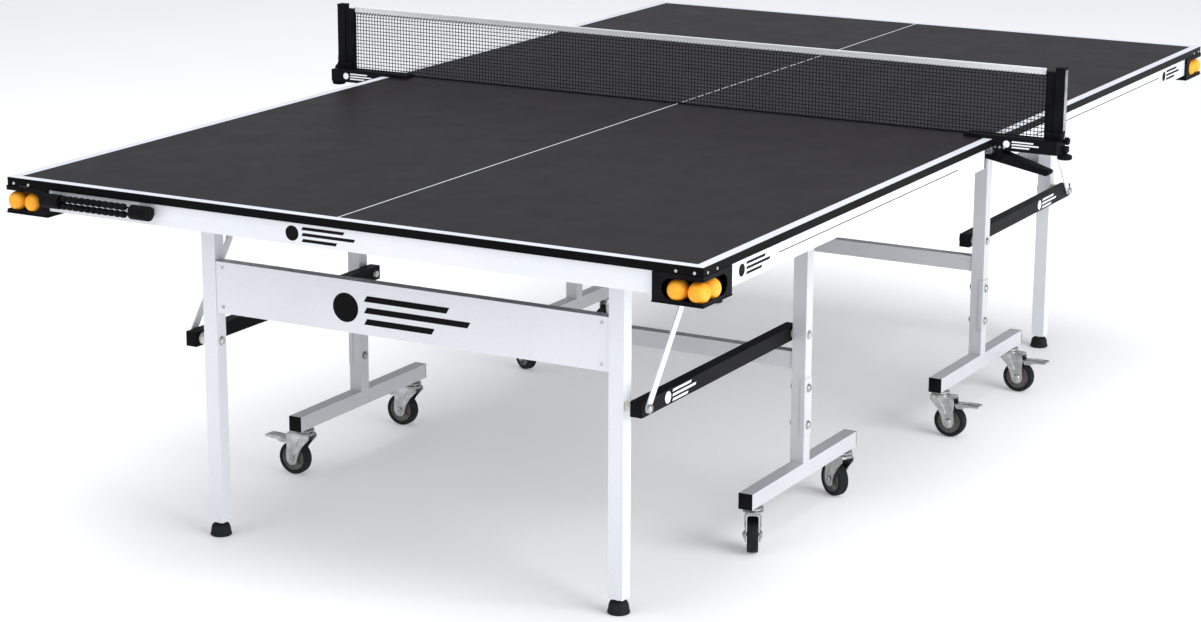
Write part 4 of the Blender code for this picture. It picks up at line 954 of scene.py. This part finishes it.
def net_hardware():
    """Ribs, knobs, screws, post cap, chain and the bright strip on each post."""
    for side_name, side in SIDES:
        low, high, _, _ = size(f"net_bracket_{side_name}")
        post_out = high.y if side > 0 else low.y
        post = post_out - side * 10 * MM
        top = high.z
        bm = bmesh.new()
        # Cap and the sleeve's clamping ribs.
        add_block(bm, centred(22.4 * MM), centred(22 * MM, post),
                  (top - 2.5 * MM, top + 1.8 * MM), 1.6 * MM, 3)
        for k in range(2):
            y = post - side * (15 + 11 * k) * MM
            add_block(bm, centred(16.8 * MM), centred(3.2 * MM, y),
                      (ARM_TOP + 7 * MM, top - 12 * MM), 1.2 * MM)
        # Rounded foot where the post meets the arm.
        add_block(bm, (-16 * MM, 10.6 * MM), (post - side * 27 * MM, post + side * 10.6 * MM),
                  (ARM_TOP - 2 * MM, ARM_TOP + 15 * MM), 3.5 * MM, 3)
        # Stiffening ribs along the arm and round its rim.
        rib_top = ARM_TOP + 2.6 * MM
        for x in (low.x + 2.2 * MM, low.x + 34 * MM):
            add_block(bm, centred(3.2 * MM, x), (side * ARM_INNER_END, side * 0.884),
                      (ARM_TOP, rib_top), 0.9 * MM)
        add_block(bm, (low.x + 1 * MM, low.x + 36 * MM),
                  (side * (ARM_INNER_END - 1.5 * MM), side * (ARM_INNER_END + 3 * MM)),
                  (ARM_TOP - 1 * MM, rib_top), 0.9 * MM)
        # Ear and height knob below, clear of the clamp handle, and tension knob outside.
        add_block(bm, centred(19 * MM), (post_out - side * 6 * MM, post_out + side * 10.5 * MM),
                  (0.7382, 0.7520), 2.0 * MM, 3)
        knob_place = at(-2 * MM, post_out + side * 4.5 * MM, 0.725)
        add_lathe(bm, mm((0, 0), (13.8, 0), (15.0, 1.4), (15.0, 7.6), (13.4, 9.6), (6.4, 10.4),
                         (5, 14), (0, 14)), 36, knob_place)
        for k in range(12):
            add_block(bm, (14.4 * MM, 15.7 * MM), centred(3 * MM), (1.2 * MM, 7.8 * MM),
                      0.5 * MM, 1, knob_place @ spin(math.tau * k / 12))
        add_lathe(bm, mm((0, -0.5), (4.5, -0.5), (4.5, 3), (7.5, 4), (8.2, 6), (8.0, 10.5),
                         (6.4, 12.5), (0, 13.2)), 28, at(0, post_out, 0.7635, (0, side, 0)))
        link_piece(f"net_hardware_{side_name}", to_mesh(bm), "plastic", "near_top")

        bm = bmesh.new()
        add_block(bm, centred(14 * MM), (post_out - side * 0.5 * MM, post_out + side * 1.0 * MM),
                  (ARM_TOP + 20 * MM, top - 3 * MM), 0.9 * MM)
        for k in range(3):
            screw_head(bm, at(low.x, side * (0.769 + 10 * k * MM), 0.7445, (-1, 0, 0)),
                       3.0 * MM, 1.6 * MM)
        # Bead chain from the head cord down to the tension knob.
        for k in range(9):
            z = 0.796 - k * 3.4 * MM
            y = post_out + side * (3.0 + 1.4 * math.sin(0.5 * k)) * MM
            add_lathe(bm, mm((0, -1.5), (1.06, -1.06), (1.5, 0), (1.06, 1.06), (0, 1.5)), 10,
                      Matrix.Translation((-4 * MM, y, z)))
            if k < 8:
                add_lathe(bm, mm((0, 0), (0.4, 0), (0.4, 3.4), (0, 3.4)), 6,
                          Matrix.Translation((-4 * MM, y, z - 3.4 * MM)))
        link_piece(f"net_bright_{side_name}", to_mesh(bm), "zinc", "near_top")


def clamp_levers():
    """Moulded clamp handles: a nose under the rail, a hub, and a tapering grip."""
    outline = mm((-37, -4.4), (-35.6, -2.4), (-9, -2.2), (-7.6, 2.0), (-4.8, 6.2), (0, 7.8),
                 (5, 6.4), (30, -1.6), (60, -10.6), (90, -19.6), (106, -23.6), (110.6, -25.8),
                 (112.4, -29.0), (111.0, -33.4), (106.6, -36.0), (80, -30.6), (40, -23.2),
                 (0, -15.8), (-30, -10.2), (-36, -8.4))
    for side_name, side in SIDES:
        name = f"net_clamp_lever_{side_name}"
        pivot = joint_place(f"net_clamp_{side_name}")
        across = Matrix(((0, 0, 1, 0), (side, 0, 0, 0), (0, 1, 0, 0), (0, 0, 0, 1)))
        half = size(name)[3].x / 2
        grip = half - 4 * MM
        bm = bmesh.new()
        add_plate(bm, outline, -half, half, 2.0 * MM, across)
        for k in range(5):
            y, z = (76 + 6 * k) * MM, -(29.6 + 1.14 * k) * MM
            add_sweep(bm, [(x, side * y, z) for x in (-grip, grip)], circle(1.1 * MM, 8))
        obj = link_piece(f"clamp_handle_{side_name}", to_mesh(bm), "plastic", name,
                         Matrix.Translation(pivot))
        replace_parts(obj, name)
        # Pin head on the bracket's lug.
        bm = bmesh.new()
        add_lathe(bm, mm((0, -0.3), (5.0, -0.3), (5.0, 0.7), (4.0, 1.5), (0, 1.8)), 20,
                  at(size(f"net_bracket_{side_name}")[0].x, pivot.y, pivot.z, (-1, 0, 0)))
        link_piece(f"clamp_pin_{side_name}", to_mesh(bm), "plastic", "near_top")


def rail_caps():
    """Black end plugs on the side rails, where they stop short of the net clamp."""
    top = size("near_panel")[0].z
    bm = bmesh.new()
    for side in (-1, 1):
        add_block(bm, (SIDE_RAIL_END - 5 * MM, SIDE_RAIL_END + 1.2 * MM),
                  (side * 0.7392, side * (SIDE_RAIL_FACE + 0.3 * MM)),
                  (top - 42.2 * MM, top - 0.6 * MM), 0.8 * MM)
    halves("side_rail_caps", to_mesh(bm), "plastic", "top")


# ---------------------------------------------------------------- scorer
def scorer():
    """Ribbed end caps of the rack, and two rows of turned beads."""
    low, high, mid, _ = size("scorer_rack")
    length = 42
    profile = [(0, -1.2), (9, -1.0), (12.6, 0.4), (14.3, 2.4)]
    z = 5
    while z < length - 6:
        profile += [(14.3, z), (13.7, z + 0.7), (13.7, z + 2.0), (14.3, z + 2.7)]
        z += 4.6
    profile += [(14.3, length - 1.4), (13.4, length), (0, length)]
    bm = bmesh.new()
    for start, way in ((low.y, 1), (high.y, -1)):
        add_lathe(bm, mm(*profile), 32, at(low.x + 14 * MM, start, mid.z, (0, way, 0)))
    link_piece("scorer_caps", to_mesh(bm), "plastic", "near_top")
    for row in ("upper", "lower"):
        name = f"scorer_beads_{row}"
        low, _, mid, span = size(name)
        count = 11
        pitch = span.y / count
        radius = span.z / 2
        half = pitch / 2 - 0.12 * MM
        profile = [(1.9 * MM, -half), (3.6 * MM, -half), (5.6 * MM, -half * 0.82),
                   (radius * 0.97, -half * 0.45), (radius * 1.02, 0), (radius * 0.97, half * 0.45),
                   (5.6 * MM, half * 0.82), (3.6 * MM, half), (1.9 * MM, half), (1.9 * MM, -half)]
        bm = bmesh.new()
        for k in range(count):
            add_lathe(bm, profile, 24, at(mid.x, low.y + (k + 0.5) * pitch, mid.z, (0, 1, 0)))
        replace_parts(link_piece(f"scorer_bead_row_{row}", to_mesh(bm), "plastic", name), name)


# ---------------------------------------------------------------- stage
def stage():
    bm = bmesh.new()
    bmesh.ops.create_grid(bm, x_segments=8, y_segments=8, size=45.0)
    floor = bpy.data.objects.new("floor", to_mesh(bm))
    floor.location.z = -0.6 * MM
    SCENE.collection.objects.link(floor)
    shader = Shader("studio_floor", Specular_IOR_Level=0.2, Emission_Strength=0.2)
    shader.principled.inputs["Emission Color"].default_value = (1.0, 1.0, 1.0, 1.0)
    cloud = shader.noise(1.4, detail=3.0)
    fine = shader.noise(0.02, detail=2.0)
    colour = shader.mix(shader.ramp(cloud, 0.0, 1.0), (0.90, 0.90, 0.905), (0.93, 0.93, 0.935))
    floor.data.materials.append(shader.finish(colour, shader.ramp(fine, 0.55, 0.65)))
    world = bpy.data.worlds.new("studio")
    world.use_nodes = True
    background = world.node_tree.nodes["Background"]
    background.inputs["Color"].default_value = (0.93, 0.95, 1.0, 1.0)
    background.inputs["Strength"].default_value = 0.52
    SCENE.world = world
    lights = (("key", (-1.5, -6.5, 3.2), (0, 0, 0.5), 5.0, 400.0),
              ("fill", (-7.0, 2.5, 3.0), (-0.5, 0, 0.5), 5.0, 85.0),
              ("over", (-0.5, 0.0, 7.0), (0, 0, 0.3), 7.0, 360.0))
    for name, place, target, width, power in lights:
        lamp = bpy.data.lights.new(name, "AREA")
        lamp.size = width
        lamp.energy = power
        obj = bpy.data.objects.new(name, lamp)
        obj.location = place
        obj.rotation_euler = (Vector(target) - Vector(place)).to_track_quat("-Z", "Y").to_euler()
        SCENE.collection.objects.link(obj)


def camera():
    data = bpy.data.cameras.new("camera")
    data.lens = 86.4
    data.sensor_width = 36.0
    data.shift_x = -0.002
    data.clip_end = 200.0
    obj = bpy.data.objects.new("camera", data)
    azimuth, elevation, roll = (math.radians(v) for v in (28.95, -14.41, 0.23))
    ahead = Vector((math.cos(elevation) * math.cos(azimuth),
                    math.cos(elevation) * math.sin(azimuth), math.sin(elevation)))
    right = ahead.cross(Vector((0, 0, 1))).normalized()
    down = ahead.cross(right)
    turned_right = math.cos(roll) * right - math.sin(roll) * down
    turned_down = math.sin(roll) * right + math.cos(roll) * down
    basis = Matrix((turned_right, -turned_down, -ahead)).transposed().to_4x4()
    obj.matrix_world = Matrix.Translation((-5.632, -2.925, 1.911)) @ basis
    SCENE.collection.objects.link(obj)
    SCENE.camera = obj


camera()
stage()
dress_nodes()
panel_paint()
edge_band()
band_screws()
spare_balls()
holder_rims()
marks()
trolley_fasteners()
splice_plates()
tube_plugs()
spacers()
stay_rivets()
leveller_feet()
casters()
net_cloth()
net_hardware()
clamp_levers()
rail_caps()
scorer()
SCENE.view_settings.view_transform = "Standard"
